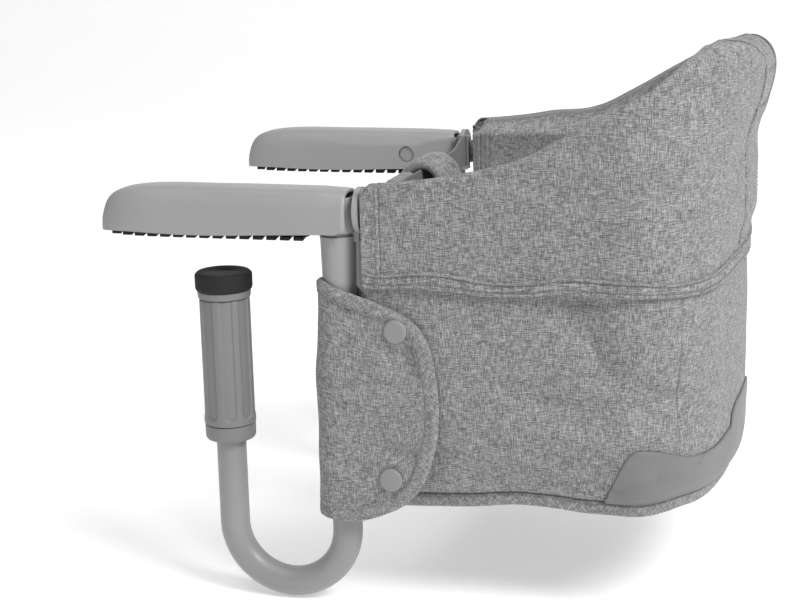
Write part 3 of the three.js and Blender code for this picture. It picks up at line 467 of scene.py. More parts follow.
def sewn_row(skin, line, across, lift, radius=0.42):
    """A row of stitches that follows a line drawn on a skin, as small flattened beads."""
    bm = bmesh.new()
    count = max(2, int(line.length / STITCH.pitch))
    for i in range(count):
        place, along, out = on_skin(skin, line, (i + 0.5) / count, across, lift)
        turn = Matrix((along, out.cross(along), out)).transposed().to_4x4()
        size = Matrix.Diagonal((STITCH.length / 2, radius, radius, 1))
        bmesh.ops.create_uvsphere(bm, u_segments=6, v_segments=4, radius=1,
                                  matrix=Matrix.Translation(place) @ turn @ size)
    return bm


def beside(line, share, across):
    """A place beside a line that is drawn on flat cloth."""
    way = line.along(share)
    return line.at(share) + Vector((-way.y, way.x, 0)) * across


def on_skin(skin, line, share, across, lift):
    """The point of a skin beside a line drawn on it, with the way along the line and the way out."""
    step = 0.4
    here = beside(line, share, across)
    way = line.along(share) * step
    place = skin(here.x, here.y, lift)
    along = (skin(here.x + way.x, here.y + way.y, lift) - place).normalized()
    out = skin(here.x, here.y, lift + step) - place
    return place, along, (out - along * out.dot(along)).normalized()


def band_mesh(skin, line, profile, columns):
    """A strip of cloth with a profile of (across, lift) that follows a line drawn on a skin."""
    rows = len(profile) - 1
    lengths = [0]
    for start, end in zip(profile, profile[1:]):
        lengths.append(lengths[-1] + math.dist(start, end))

    def place(share, up):
        across, lift = profile[round(up * rows)]
        here = beside(line, share, across)
        return skin(here.x, here.y, lift)

    def flat(share, up):
        return share * line.length, lengths[round(up * rows)]

    return sheet_mesh(columns, rows, place, flat)


def filled(piece, pressure, most, sewn):
    """Fills a sewn pad: its cloth is blown up from inside, held where it is sewn, and no place moves
    further than the given length in millimetres."""
    scene = bpy.context.scene
    before = [vert.co.copy() for vert in piece.data.vertices]
    seam = piece.vertex_groups.new(name="sewn")
    seam.add([vert.index for vert in piece.data.vertices if sewn(vert.co / MM)], 1, "REPLACE")
    cloth = piece.modifiers.new("filling", "CLOTH")
    cloth.settings.quality = 6
    cloth.settings.mass = 0.3
    cloth.settings.use_pressure = True
    cloth.settings.uniform_pressure_force = pressure
    cloth.settings.vertex_group_mass = "sewn"
    cloth.settings.effector_weights.gravity = 0
    for step in range(20):
        scene.frame_set(step + 1)
    shape = piece.evaluated_get(bpy.context.evaluated_depsgraph_get())
    after = [vert.co.copy() for vert in shape.data.vertices]
    piece.modifiers.remove(cloth)
    piece.vertex_groups.remove(seam)
    scene.frame_set(1)
    for vert, old, new in zip(piece.data.vertices, before, after):
        way = new - old
        vert.co = old + way.normalized() * min(way.length, most * MM)
    soft = piece.modifiers.new("smooth", "SUBSURF")
    soft.levels = soft.render_levels = 1


# Camera, floor and light. The camera was worked out from upright and level edges in the photograph.
CAMERA = Sizes(place=(395, -1329, 242.5), yaw=16.55, pitch=13.10, roll=-1.54, lens=80.15, sensor=36)


def look_camera():
    yaw, pitch, roll = (math.radians(angle) for angle in (CAMERA.yaw, CAMERA.pitch, CAMERA.roll))
    ahead = Vector((-math.sin(yaw) * math.cos(pitch), math.cos(yaw) * math.cos(pitch), -math.sin(pitch)))
    level = Vector((math.cos(yaw), math.sin(yaw), 0))
    upright = level.cross(ahead)
    right = math.cos(roll) * level + math.sin(roll) * upright
    up = -math.sin(roll) * level + math.cos(roll) * upright
    camera = new_object("camera", bpy.data.cameras.new("camera"))
    turn = Matrix((right, up, -ahead)).transposed().to_4x4()
    camera.matrix_world = Matrix.Translation(Vector(CAMERA.place) * MM) @ turn
    camera.data.sensor_fit = "HORIZONTAL"
    camera.data.sensor_width = CAMERA.sensor
    camera.data.lens = CAMERA.lens
    camera.data.clip_start = 0.05
    camera.data.clip_end = 50
    bpy.context.scene.camera = camera


def soft_light(name, place, size, power):
    lamp = bpy.data.lights.new(name, "AREA")
    lamp.shape = "DISK"
    lamp.size = size
    lamp.energy = power
    lit = new_object(name, lamp)
    lit.location = place
    middle_of_chair = Vector((0.1, 0, -0.06))
    lit.rotation_euler = (middle_of_chair - Vector(place)).to_track_quat("-Z", "Y").to_euler()


def studio():
    """A pale sheet that runs flat just under the chair and curves up behind it, in metres."""
    bend, depth, front, height, half, below = 0.9, 2.2, 2.2, 3.4, 5.0, 0.0006
    floor_level = -(LEG.depth + LEG.radius) * MM - below
    quarter = bend * math.pi / 2

    def place(across, up):
        x = lerp(-half, half, across)
        reach = up * (depth + front + quarter + height)
        if reach < depth + front:
            return Vector((x, reach - front, floor_level))
        turn = min((reach - depth - front) / bend, math.pi / 2)
        rise = max(0, reach - depth - front - quarter)
        return Vector((x, depth + bend * math.sin(turn), floor_level + bend * (1 - math.cos(turn)) + rise))

    bm = sheet_mesh(2, 60, place, lambda across, up: (across, up))
    paper, _, _ = new_finish("paper_white", Roughness=0.95, Specular_IOR_Level=0.1,
                             Base_Color=hex_colour("f4f4f4"), Emission_Color=(1, 1, 1, 1),
                             Emission_Strength=0.34)
    new_object("studio_sheet", smooth_mesh("studio_sheet", bm, paper))
    studio_air()
    soft_light("key_light", place=(2.0, -1.2, 2.0), size=1.2, power=66)
    soft_light("top_light", place=(-0.3, -0.8, 2.2), size=1.6, power=15)
    bpy.context.scene.view_settings.view_transform = "Standard"


def studio_air():
    """Soft light from all round that is stronger on the right, in front and above, as from a large
    window beside the camera."""
    world = bpy.data.worlds.new("studio")
    bpy.context.scene.world = world
    world.use_nodes = True
    tree = world.node_tree
    way = add_node(tree, "ShaderNodeTexCoord").outputs["Generated"]
    facing = add_node(tree, "ShaderNodeVectorMath", {0: way, 1: (0.35, -0.45, 0.82)},
                      operation="DOT_PRODUCT")
    strength = add_node(tree, "ShaderNodeMapRange", {
        "Value": facing.outputs["Value"], "From Min": -1, "From Max": 1, "To Min": 0.02, "To Max": 0.42})
    tree.links.new(strength.outputs["Result"], tree.nodes["Background"].inputs["Strength"])
    tree.nodes["Background"].inputs["Color"].default_value = (1, 1, 1, 1)


look_camera()
studio()


# The seat's outline seen from above. Station -1 is the front of the left side and 0 the middle of the
# back; "along" is the length of cloth from the front of the left side.
def plan_point(station, inset, front=SEAT.front):
    side = -1 if station < 0 else 1
    share = abs(station)
    if share > SEAT.round_share:
        x = lerp(SEAT.round_start, front, (share - SEAT.round_share) / (1 - SEAT.round_share))
        return x, side * (SEAT.half_width - inset)
    angle = share / SEAT.round_share * math.pi / 2
    power = 2 / SEAT.roundness
    return (SEAT.round_start + (SEAT.round_reach - inset) * max(math.cos(angle), 0) ** power,
            side * (SEAT.half_width - inset) * math.sin(angle) ** power)


def plan_lengths(steps=800):
    rows, length, last = [], 0, None
    for i in range(steps + 1):
        station = lerp(-1, 1, i / steps)
        spot = plan_point(station, 0)
        length += math.dist(spot, last) if last else 0
        last = spot
        rows.append((length, station))
    return rows


PLAN_ROWS = plan_lengths()
ROUND = PLAN_ROWS[-1][0]
SIDE_ROWS = [(plan_point(station, 0)[0], along) for along, station in PLAN_ROWS if station <= 0]


@lru_cache(maxsize=None)
def station_at(along):
    return table_at(PLAN_ROWS, along)


@lru_cache(maxsize=None)
def along_at(station):
    return table_at([(row[1], row[0]) for row in PLAN_ROWS], station)


def along_of(x):
    """How far along the cloth of the left side a place this far back lies."""
    return table_at(SIDE_ROWS, x)


def from_front(along):
    """The length of cloth to the nearer of the two front edges."""
    return min(along, ROUND - along)


# Heights and depths of the cloth
HEM_LOW = [(0, -32.2), (12.7, -32.5), (41.8, -31.4), (64.8, -32.6), (91.8, -35.1), (112.9, -34.7),
           (126.9, -33.3), (144.1, -31.3), (163.8, -32.5), (185.8, -32.8), (210.8, -33.8), (233.2, -35.5),
           (258.4, -36.5), (280.6, -36.4), (330, -34), (379, -33.2)]
HEM_HIGH = [(0, -20.7), (11.5, -23.2), (27.6, -21.9), (49.3, -20.1), (65, -21.3), (85, -24.8),
            (102.5, -25.9), (120, -24.9), (144.2, -20.8), (166.5, -21.5), (192.1, -22.6), (226.1, -26.1),
            (258.1, -26), (286.8, -24), (310.3, -22), (379, -21.5)]
WALL = Sizes(foot=-190.6, top=-25.5, inset=22, seam=0.36, thick=8.5, cloth=6, slack=0.6, calm=14,
             lifted=55, seam_drop=1.6, seam_run=5,
             inset_shares=[(0, 1), (0.04, 0.92), (0.1, 0.62), (0.2, 0.36), (0.32, 0.16), (0.5, 0.02),
                           (0.7, 0), (0.85, 0.03), (0.93, 0.08), (1, 0.11)])
LINING = Sizes(low=-23, foot=13, level=27, front=28.4, rear=23, thick=3, clip_low=7.4, clip_top=36,
               soft=1.1, front_hem=[6, 14])
ROLL = Sizes(reach=0.4, start=0.44, grow=0.34, depth=18.5, height=21.5, proud=8, cloth=0.8,
             slack=0.05, gather=0.04, gather_run=4.6, round_end=0.02,
             cover_fade=0.02, lining_to=0.26, lining_fade=0.03)
BINDING = Sizes(low=-199.5, inset=19.5, ease=3.6)
# The cloth's top fold: half its width at the sides, its droop at the front end, and where it turns
# into the measured line of the back
CREST = Sizes(half=3.2, droop=7, droop_run=10, back_from=0.46, back_run=0.04)
# The upper cloth leaves the frame tube at one height and goes over to the crest; its front hem has
# one sewn edge, and its foot ends above the low edge of the long hem
COVER = Sizes(slack=0.5, leaves=50, joins=8, front_hem=[13], foot_above=3)
# How much higher than the near side the far side of the seat's top is, by distance back
FAR_RISE = [(40, 3.6), (90, 3.2), (130, -1.8), (170, -2), (200, -1), (225, 0)]
# Height of the top of the back by station, and how far in the cloth of the back lies by height
BACK_TOP = [(-0.46, 107), (-0.4, 115.2), (-0.34, 123.8), (-0.3, 128), (-0.26, 131.8), (-0.2, 134),
            (-0.15, 134.4), (-0.1, 133), (0, 129), (0.1, 126), (0.2, 122.6), (0.26, 119.6), (0.3, 116.8),
            (0.34, 114), (0.4, 109.6), (0.46, 104.4)]
BACK_EASE = [(-200, 1), (-188, 1.5), (-168, 4), (-140, 7.5), (-112, 8.5), (-40, 8.5), (-12, 7.5), (3, 3.8),
             (33, 3.8), (48, 4.4), (78, 3)]
# How far the foot of the wall bulges at the back and its corners, by height
FOOT_BULGE = [(-200, 4), (-190, 4), (-183, 4.4), (-172, 3.8), (-158, 2), (-142, 1), (-125, 0)]
# Where the side's cloth ends in a seam over the roll, as (height below the top, station)
SEAM_LINE = [(0, 0.21), (2, 0.17), (6, 0.12), (14, 0.085), (30, 0.07), (48, 0.07), (70, 0.1), (200, 0.1)]
# How far the foot of the seat is lifted at each length of cloth from the front
FOOT_LIFT = [(0, -0.5), (36, 1.2), (70, 3.2), (110, 7.4), (133, 6.6), (155, 4.6), (195, 4.4), (235, 6.2),
             (270, 3.5), (310, 2), (379, 1.5)]


def top_edge(x):
    return lerp(SEAT.side_top, SEAT.back_top,
                curve_at(EDGE_SHARES, (x - SEAT.front) / (SEAT.back_edge - SEAT.front)))


@lru_cache(maxsize=None)
def crest(station):
    """The rounded top of the cloth: how far in its middle lies, half its depth, half its height, and
    the height of its top. It is a narrow fold at the sides and grows into the padded roll at the back."""
    grown = smooth((ROLL.start - abs(station)) / ROLL.grow)
    x = plan_point(station, 0)[0]
    near_back = smooth((CREST.back_from - abs(station)) / CREST.back_run)
    top = lerp(top_edge(x), curve_at(BACK_TOP, station), near_back)
    top -= CREST.droop * (1 - smooth((x - SEAT.front) / CREST.droop_run)) ** 2
    top += curve_at(FAR_RISE, x) if station > 0 else 0
    half_depth = lerp(CREST.half, ROLL.depth, grown)
    return (half_depth - ROLL.proud * grown, half_depth, lerp(CREST.half, ROLL.height, grown), top)


@lru_cache(maxsize=None)
def back_share(station):
    """1 along the middle of the back, fading to 0 round its corners."""
    return smooth((SEAT.back_to - abs(station)) / SEAT.back_fade)


def back_ease(station, z):
    """How far in the cloth of the back lies."""
    return curve_at(BACK_EASE, z) * back_share(station)


def cover_inset(z, station):
    """The cloth hangs straight at the sides; at the back it lies close to the frame tube and comes
    out to the roll above it."""
    middle, half_depth, half_height, top = crest(station)
    flat = back_ease(station, z) + COVER.slack
    crest_low = top - half_height
    if crest_low > COVER.leaves:
        return lerp(flat, middle - half_depth, smooth((z - COVER.leaves) / (crest_low - COVER.leaves)))
    if z >= crest_low:
        return flat
    return lerp(flat, middle - half_depth + COVER.slack, smooth((z - crest_low) / COVER.joins + 1))


def wall_inset(z):
    return WALL.inset * curve_at(WALL.inset_shares, (z - SEAT.bottom) / (WALL.top - SEAT.bottom))


def foot_lift(along, z):
    """The lower cloth rises with the foot of the seat, less and less with height."""
    return curve_at(FOOT_LIFT, from_front(along)) * (1 - smooth((z - SEAT.bottom) / WALL.lifted))


# Folds of the lower cloth: places as (x, z) along the left side, then depth and half width
FOLDS = [
    ([(150, -112), (168, -114), (190, -115), (212, -113), (240, -109)], 10, 20),
    ([(172, -33), (180, -59), (190, -84), (204, -94), (228, -103)], 8, 17),
    ([(97, -173), (130, -172), (165, -174), (190, -177)], 2.4, 6),
    ([(159, -177), (178, -167), (194, -158)], 3.2, 8),
    ([(198, -178), (212, -173), (230, -168)], 3.6, 7),
    ([(88, -150), (82, -168), (75, -184)], -2.6, 7),
    ([(100, -40), (108, -62), (112, -90)], 1.6, 11),
    ([(256, -38), (260, -70), (262, -104)], 2, 8),
    ([(270, -36), (273, -66), (274, -98)], 2, 7),
    ([(125, -140), (150, -133), (176, -136)], -2, 13),
]
# Dents of the upper cloth, in the same way
DENTS = [([(184, -16), (200, -8), (214, 0)], 3, 9), ([(120, -16), (138, -12)], 1.4, 10),
         ([(235, 20), (238, 55), (243, 84)], 1.6, 8)]


def laid_out(lines):
    """The same lines on the flat cloth, as (along, z)."""
    return [([(along_of(x), z) for x, z in points], depth, half) for points, depth, half in lines]


FOLD_LINES = laid_out(FOLDS)
DENT_LINES = laid_out(DENTS)


def distance_to(points, spot):
    nearest = 1e9
    for start, end in zip(points, points[1:]):
        start, run = Vector(start), Vector(end) - Vector(start)
        share = clamped((spot - start).dot(run) / run.length_squared)
        nearest = min(nearest, (spot - start - run * share).length)
    return nearest


def hollow_depth(lines, along, z):
    """How far the cloth sinks in at the lines that pass near a place."""
    spot = Vector((from_front(along), z))
    depth = 0
    for points, deep, half in lines:
        away = distance_to(points, spot)
        if away < 3 * half:
            depth += deep * math.exp(-math.hypot(away, 1.5) / half)
    return depth


def dent_depth(along, z):
    """How far the upper cloth sinks in, with a slight sway of the whole cloth."""
    sway = 0.5 * noise.noise(Vector((along / 40, z / 38, 5))) * smooth((30 - z) / 30)
    return hollow_depth(DENT_LINES, along, z) + sway


def fold_depth(along, z):
    """How far the lower cloth sinks in at its folds, with a slight waviness all over."""
    wave = noise.noise(Vector((along / 55, z / 48, 3))) + 0.4 * noise.noise(Vector((along / 21, z / 26, 8)))
    return hollow_depth(FOLD_LINES, along, z) + 0.9 * wave


def on_seat(along, inset, z, front=SEAT.front):
    return Vector((*plan_point(station_at(along), inset, front), z))


def cover_skin(along, z, lift):
    """The outside of the upper cloth."""
    return on_seat(along, cover_inset(z, station_at(along)) + dent_depth(along, z) - lift, z)


def foot_bulge(along, z):
    """How far the foot of the walls stands out; this fades out along the sides."""
    return curve_at(FOOT_BULGE, z) * smooth((SEAT.bulge_to - abs(station_at(along))) / SEAT.bulge_fade)


def wall_skin(along, z, lift):
    """The outside of the lower cloth, flat at its sewn edges; lift is how far a place stands off it."""
    away = min(z - WALL.foot, WALL.top - z)
    folds = fold_depth(along, z) * smooth(away / WALL.calm)
    inset = wall_inset(z) + WALL.slack + folds + back_ease(station_at(along), z) - foot_bulge(along, z)
    return on_seat(along, inset - lift, z + foot_lift(along, z))


def binding_skin(along, z, lift):
    """The outside of the binding round the foot."""
    ease = BINDING.ease * back_share(station_at(along))
    inset = BINDING.inset + ease - foot_bulge(along, BINDING.low)
    return on_seat(along, inset - lift, z + foot_lift(along, z))


def lining_inset(z, station, high):
    """The lining hangs inside the clips on the frame tube and goes over to the crest above them."""
    middle, half_depth, _, _ = crest(station)
    if z <= LINING.clip_low:
        share = smooth((z - LINING.low) / (LINING.clip_low - LINING.low))
        return lerp(LINING.foot, LINING.level, share) + LINING.thick
    if z <= LINING.clip_top:
        return LINING.level + LINING.thick
    share = smooth((z - LINING.clip_top) / (high - LINING.clip_top))
    inset = lerp(LINING.level + LINING.thick, middle + half_depth, share)
    at_rear = smooth((SEAT.round_share + WALL.seam / 4 - abs(station)) / (WALL.seam / 2))
    return lerp(inset, max(inset, LINING.rear + LINING.thick), at_rear)


def crest_point(station, angle, side=1):
    """(inset, height) on the crest: angle 0 is its outermost place, or innermost with side -1, and a
    quarter turn is its top."""
    middle, half_depth, half_height, top = crest(station)
    spare = ROLL.cloth * clamped((half_depth - CREST.half) / 4)
    return (middle - side * (half_depth + spare) * math.cos(angle),
            top - half_height + (half_height + spare) * math.sin(angle))


# The share of the rows of upper cloth and lining that lies below the crest. Where these end at the
# roll, their edge is tucked in under it by a share of the crest's depth.
ROWS_BELOW = 0.66
TUCK_SHARE = 0.8


def cover_row(station, up, low):
    """(inset, height, length up) of the outside cloth from its hem, at 0, to the top of the crest, at 1."""
    _, half_depth, half_height, top = crest(station)
    if up < ROWS_BELOW:
        z = lerp(low, top - half_height, up / ROWS_BELOW)
        return cover_inset(z, station), z, z
    angle = (up - ROWS_BELOW) / (1 - ROWS_BELOW) * math.pi / 2
    inset, z = crest_point(station, angle)
    covered = table_at(SEAM_LINE, top - z)
    tucked = smooth((covered - abs(station)) / ROLL.cover_fade)
    return (lerp(inset, inset + half_depth * TUCK_SHARE, tucked), lerp(z, top - half_height, tucked),
            top - half_height + (half_depth + half_height) / 2 * angle)


def lining_row(station, up):
    """(inset, height) of the inside cloth from its foot, at 0, to the top of the crest, at 1."""
    _, half_depth, half_height, top = crest(station)
    if up < ROWS_BELOW:
        z = lerp(LINING.low, top - half_height, up / ROWS_BELOW)
        return lining_inset(z, station, top - half_height), z
    angle = (up - ROWS_BELOW) / (1 - ROWS_BELOW) * math.pi / 2
    inset, z = crest_point(station, angle, -1)
    tucked = smooth((ROLL.lining_to - abs(station)) / ROLL.lining_fade)
    return lerp(inset, inset - half_depth * TUCK_SHARE, tucked), lerp(z, top - half_height, tucked)


# Upper band of cloth with its hem
def front_spaced(share):
    """Spreads the columns of a cloth so that its two front hems get the finest ones."""
    hem_share, hem = 0.08, 16
    return table_at([(0, 0), (hem_share, hem), (1 - hem_share, ROUND - hem), (1, ROUND)], share)


def front_hem(away, edges):
    """How far the folded hem at a front edge stands out, with a fine ridge beside each sewn edge."""
    relief = 0.5 * (1 - smooth((away - edges[-1] + 0.4) / 0.8))
    for edge in edges:
        relief += 0.7 * math.exp(-((away - edge + 1.2) / 0.9) ** 2)
        relief -= 1.0 * math.exp(-((away - edge - 0.3) / 0.7) ** 2)
    return relief


def upper_cover():
    def row(across, up):
        along = front_spaced(across)
        low = curve_at(HEM_LOW, from_front(along)) + COVER.foot_above
        return along, cover_row(station_at(along), up, low)

    def place(across, up):
        along, (inset, z, _) = row(across, up)
        relief = front_hem(from_front(along), COVER.front_hem)
        return on_seat(along, inset + dent_depth(along, z) - relief, z)

    def flat(across, up):
        along, (_, _, length) = row(across, up)
        return along, length

    bm = sheet_mesh(340, 60, place, flat)
    cloth = finished("upper_cover_cloth", bm, "melange_fabric", nodes=["upper_cover"], open_sheet=True,
                     wall=1.6)
    hem = hem_band()
    rows = [hem_stitches(f"hem_stitches_{name}", share) for name, share in HEM_ROW_SHARES.items()]


# The hem's profile from its lower to its upper edge, as (share of its height, how far it stands out)
HEM_SHARES = [(-0.12, -2.0), (-0.07, 0), (0, 1.2), (0.06, 1.8), (0.14, 1.7), (0.2, 1.1), (0.245, 0.6),
              (0.29, 1.0), (0.38, 1.3), (0.5, 1.4), (0.65, 1.3), (0.75, 1.0), (0.8, 0.6), (0.85, 1.1),
              (0.91, 1.9), (0.97, 2.1), (1.03, 1.5), (1.06, 0.2), (1.06, -1.0)]
HEM_PUCKER = Sizes(depth=0.14, apart=7.2)
HEM_ROW_SHARES = {"low": 0.24, "high": 0.80}


def hem_height(along, share):
    away = from_front(along)
    return lerp(curve_at(HEM_LOW, away), curve_at(HEM_HIGH, away), share)


def hem_band():
    rows = len(HEM_SHARES) - 1

    def place(across, up):
        along = lerp(0.4, ROUND - 0.4, across)
        share, lift = HEM_SHARES[round(up * rows)]
        pucker = HEM_PUCKER.depth * math.sin(along * FULL_TURN / HEM_PUCKER.apart)
        pucker *= math.sin(math.pi * clamped(share))
        return cover_skin(along, hem_height(along, share), lift + pucker)

    bm = sheet_mesh(420, rows, place, lambda across, up: (across * ROUND, up * 14))
    return finished("cover_hem", bm, "melange_fabric", nodes=["upper_cover"], open_sheet=True)


def hem_stitches(name, share):
    line = Line([(along, hem_height(along, share), 0) for along in range(2, int(ROUND), 12)])
    return finished(name, sewn_row(cover_skin, line, 0, 0.85), "thread", merge=0)


def seat_lining():
    def place(across, up):
        along = front_spaced(1 - across)
        station = station_at(along)
        inset, z = lining_row(station, up)
        x, y = plan_point(station, inset, LINING.front)
        soft = LINING.soft * noise.noise(Vector((x / 45, y / 60, z / 40))) * smooth((0.6 - up) / 0.3)
        relief = front_hem(from_front(along), LINING.front_hem)
        return Vector((*plan_point(station, inset + soft + relief, LINING.front), z))

    bm = sheet_mesh(300, 50, place, lambda across, up: (across * ROUND * 0.93, up * 150))
    cloth = finished("lining_cloth", bm, "lining_fabric", nodes=["seat_lining"], open_sheet=True, wall=1.4)
    gussets = [front_gusset(side) for side in SIDES]


# The narrow strip that closes the front of each side between outside and inside cloth
def front_gusset(side):
    sign, foot = SIDES[side], -31

    def place(across, up):
        outer, high, _ = cover_row(1, up, foot)
        inner, inner_high = lining_row(1, up)
        x = lerp(SEAT.front + 0.6, LINING.front, across)
        inset = lerp(outer + 0.6, inner, across)
        return Vector((x, sign * (SEAT.half_width - inset), lerp(high, inner_high, across)))

    bm = sheet_mesh(8, 40, place, lambda across, up: (across * 30, up * 75))
    if side == "left":
        bmesh.ops.reverse_faces(bm, faces=bm.faces)
    return finished(f"front_gusset_{side}", bm, "lining_fabric", nodes=["seat_lining"], open_sheet=True,
                    wall=1.4)


# Lower walls: padded cloth, sewn at the back corners and into the binding
def wall_panel(name, start, end, columns):
    length = end - start

    def place(across, up):
        along = lerp(start, end, across)
        z = lerp(WALL.foot - 1, WALL.top, up)
        seam = WALL.seam_drop * (1 - smooth((z - WALL.foot + 1) / WALL.seam_run))
        return wall_skin(along, z, -seam)

    bm = sheet_mesh(columns, 66, place, lambda across, up: (across * length, up * 168))
    return finished(f"{name}_cloth", bm, "melange_fabric", nodes=[name], open_sheet=True, wall=WALL.cloth)


def walls():
    near_seam, far_seam = along_at(-WALL.seam), along_at(WALL.seam)
    gap, front = 0.02, 0.3
    spans = {"side_panel_left": (front, near_seam - gap, 110),
             "back_panel": (near_seam + gap, far_seam - gap, 100),
             "side_panel_right": (far_seam + gap, ROUND - front, 110)}
    for name, (start, end, columns) in spans.items():
        panel = wall_panel(name, start, end, columns)


# Binding round the foot, cut on the bias, with its row of stitches
def bottom_binding():
    profile = [(0.9, -4.2), (0, -4.2), (-0.5, -3), (-0.5, -1.2), (0, 0.2), (1.6, 1.3), (4.4, 1.7),
               (7.6, 1.4), (9.4, 0.7), (10, -0.4), (10.1, -1.6), (9.6, -3.2)]
    rows = len(profile) - 1

    def place(across, up):
        along = lerp(0.3, ROUND - 0.3, across)
        rise, lift = profile[round(up * rows)]
        wave = 0.25 * noise.noise(Vector((along / 9, 0, 4)))
        return binding_skin(along, BINDING.low + max(rise, 0), lift + wave)

    bm = sheet_mesh(380, rows, place, lambda across, up: (across * ROUND, up * 26))
    strip = finished("binding_strip", bm, "melange_bias", nodes=["bottom_binding"], open_sheet=True)
    line = Line([(along, BINDING.low + 7.9, 0) for along in range(2, int(ROUND), 14)])
    row = finished("binding_stitches", sewn_row(binding_skin, line, 0, 1.4), "thread", merge=0)


# Smooth corner patch round the foot of the back
PATCH_TOP = [(170.3, -182.1), (178.7, -164.1), (185.9, -150), (191.3, -144.3), (196.6, -142.7),
             (209.2, -143.9), (225.7, -148.6), (242.1, -153.4), (259.1, -155.3), (283.7, -156.2),
             (302.4, -154.1), (320.5, -152), (326.4, -144.2), (345, -138), (379, -136)]
PATCH = Sizes(lift=1.5, thick=1.1, foot=-190.4)


def patch_top(along):
    """The patch was measured on the lifted cloth, so the lift at its edge comes off."""
    top = curve_at(PATCH_TOP, from_front(along))
    return max(PATCH.foot + 0.4, top - foot_lift(along, top))


def patch_skin(along, z, lift):
    return wall_skin(along, z, lift + 0.4)


def wear_patch():
    start = PATCH_TOP[0][0] - 1.5
    end = ROUND - start

    def place(across, up):
        along = lerp(start, end, across)
        top = patch_top(along)
        z = lerp(PATCH.foot, top, up)
        away = min((1 - up) * (top - PATCH.foot), along - start, end - along)
        rim = 0.9 * (1 - smooth(away / 2.4))
        return patch_skin(along, z, PATCH.lift - rim)

    bm = sheet_mesh(260, 26, place, lambda across, up: (across * (end - start), up * 45))
    film = finished("wear_patch_film", bm, "coated_fabric", nodes=["wear_patch"], open_sheet=True,
                    wall=PATCH.thick)


# Flat pocket on the back
POCKET = Sizes(half=0.085, low=-18, high=80, thick=0.8, bulge=0.5)


def pocket_skin(along, z, lift):
    across = 1 - (station_at(along) / POCKET.half) ** 2
    middle, half = (POCKET.low + POCKET.high) / 2, (POCKET.high - POCKET.low) / 2
    up = 1 - ((z - middle) / half) ** 2
    rise = POCKET.bulge * math.sqrt(max(0, across * up))
    return on_seat(along, cover_inset(z, station_at(along)) - POCKET.thick - rise - lift, z)


def back_pocket():
    start, end = along_at(-POCKET.half), along_at(POCKET.half)

    def place(across, up):
        along, z = lerp(start, end, across), lerp(POCKET.low, POCKET.high, up)
        soft = 0.7 * noise.noise(Vector((along / 22, z / 26, 2)))
        return pocket_skin(along, z, soft * smooth(min(up, 1 - up, across, 1 - across) * 8))

    bm = sheet_mesh(70, 50, place, lambda across, up: (across * (end - start), up * 104))
    cloth = finished("pocket_cloth", bm, "melange_fabric", nodes=["back_pocket"], open_sheet=True,
                     wall=POCKET.thick + 0.8, bevel=0.7)
    line = Line([(along, POCKET.high - 4, 0) for along in [start + 1, *spaced(start + 1, end - 1, 10)]])
    profile = [(-4.5, 0), (-4.2, 0.4), (0, 0.6), (4.4, 0.5), (4.8, 0), (4.6, -1)]
    binding = finished("pocket_binding", band_mesh(pocket_skin, line, profile, 60), "melange_bias",
                       nodes=["back_pocket"], open_sheet=True)
    levels = (75, 50, 25, 0, -12)
    outline = [(start + 3, z, 0) for z in levels] + [(start + 6, POCKET.low + 3, 0)]
    outline += [(along, POCKET.low + 2.6, 0) for along in [start + 14, *spaced(start + 14, end - 14, 8)]]
    outline += [(end - 6, POCKET.low + 3, 0)] + [(end - 3, z, 0) for z in reversed(levels)]
    stitches = sewn_row(pocket_skin, Line(outline), 0, 0, radius=0.3)
    row = finished("pocket_stitches", stitches, "melange_bias", merge=0)


# Padded roll on the top edge of the back
def top_roll():
    length = along_at(ROLL.reach) - along_at(-ROLL.reach)

    def place(across, around):
        station = lerp(-ROLL.reach, ROLL.reach, across)
        middle, half_depth, half_height, top = crest(station)
        end = clamped(min(across, 1 - across) / ROLL.round_end)
        along = across * length
        uneven = 2.5 * noise.noise(Vector((along / 30, 0, 1)))
        gather = ROLL.gather * math.sin(along / ROLL.gather_run + uneven)
        size = math.sqrt(end * (2 - end)) * (1 + gather * (half_depth / ROLL.depth)) - ROLL.slack
        size = max(size, 0.02)
        angle = around * FULL_TURN
        inset = middle + half_depth * size * math.cos(angle)
        x, y = plan_point(station, inset)
        return Vector((x, y, top - half_height + half_height * size * math.sin(angle)))

    bm = sheet_mesh(150, 28, place, lambda across, around: (across * length, around * 128))
    pad = finished("top_roll_pad", bm, "melange_fabric", nodes=["top_roll"])
    filled(pad, 4, 1.4, lambda spot: spot.z < crest(0)[3] - 2 * ROLL.height + 8)


# The corded seams where the cloth of the sides meets the roll
CORD = Sizes(radius=0.9, proud=0.4, stops=[0.2, 1, 2.4, 4.5, 7, 10, 14, 18, 23, 29, 36, 44, 52, 60, 66])


def roll_cord(side):
    def spot(below):
        station = SIDES[side] * table_at(SEAM_LINE, below)
        middle, half_depth, half_height, top = crest(station)
        rise = 1 - below / half_height
        inset = cover_inset(top - below, station)
        if rise > 0:
            inset = middle - half_depth * math.sqrt(1 - rise * rise)
        x, y = plan_point(station, inset - CORD.proud)
        return Vector((x, y, top - below + (CORD.proud if rise > 0.5 else 0)))

    line = Line([spot(below) for below in CORD.stops])

    def place(along, around):
        way = line.along(along)
        aside = way.cross(Vector((1, 0, 0.3))).normalized()
        out = aside.cross(way)
        angle = around * FULL_TURN
        size = CORD.radius * min(1, 12 * min(along, 1 - along) + 0.02)
        return line.at(along) + (aside * math.cos(angle) + out * math.sin(angle)) * size

    bm = sheet_mesh(90, 8, place, lambda along, around: (along * line.length, around * 6))
    finished(f"roll_cord_{side}", bm, "melange_bias", nodes=["top_roll"])


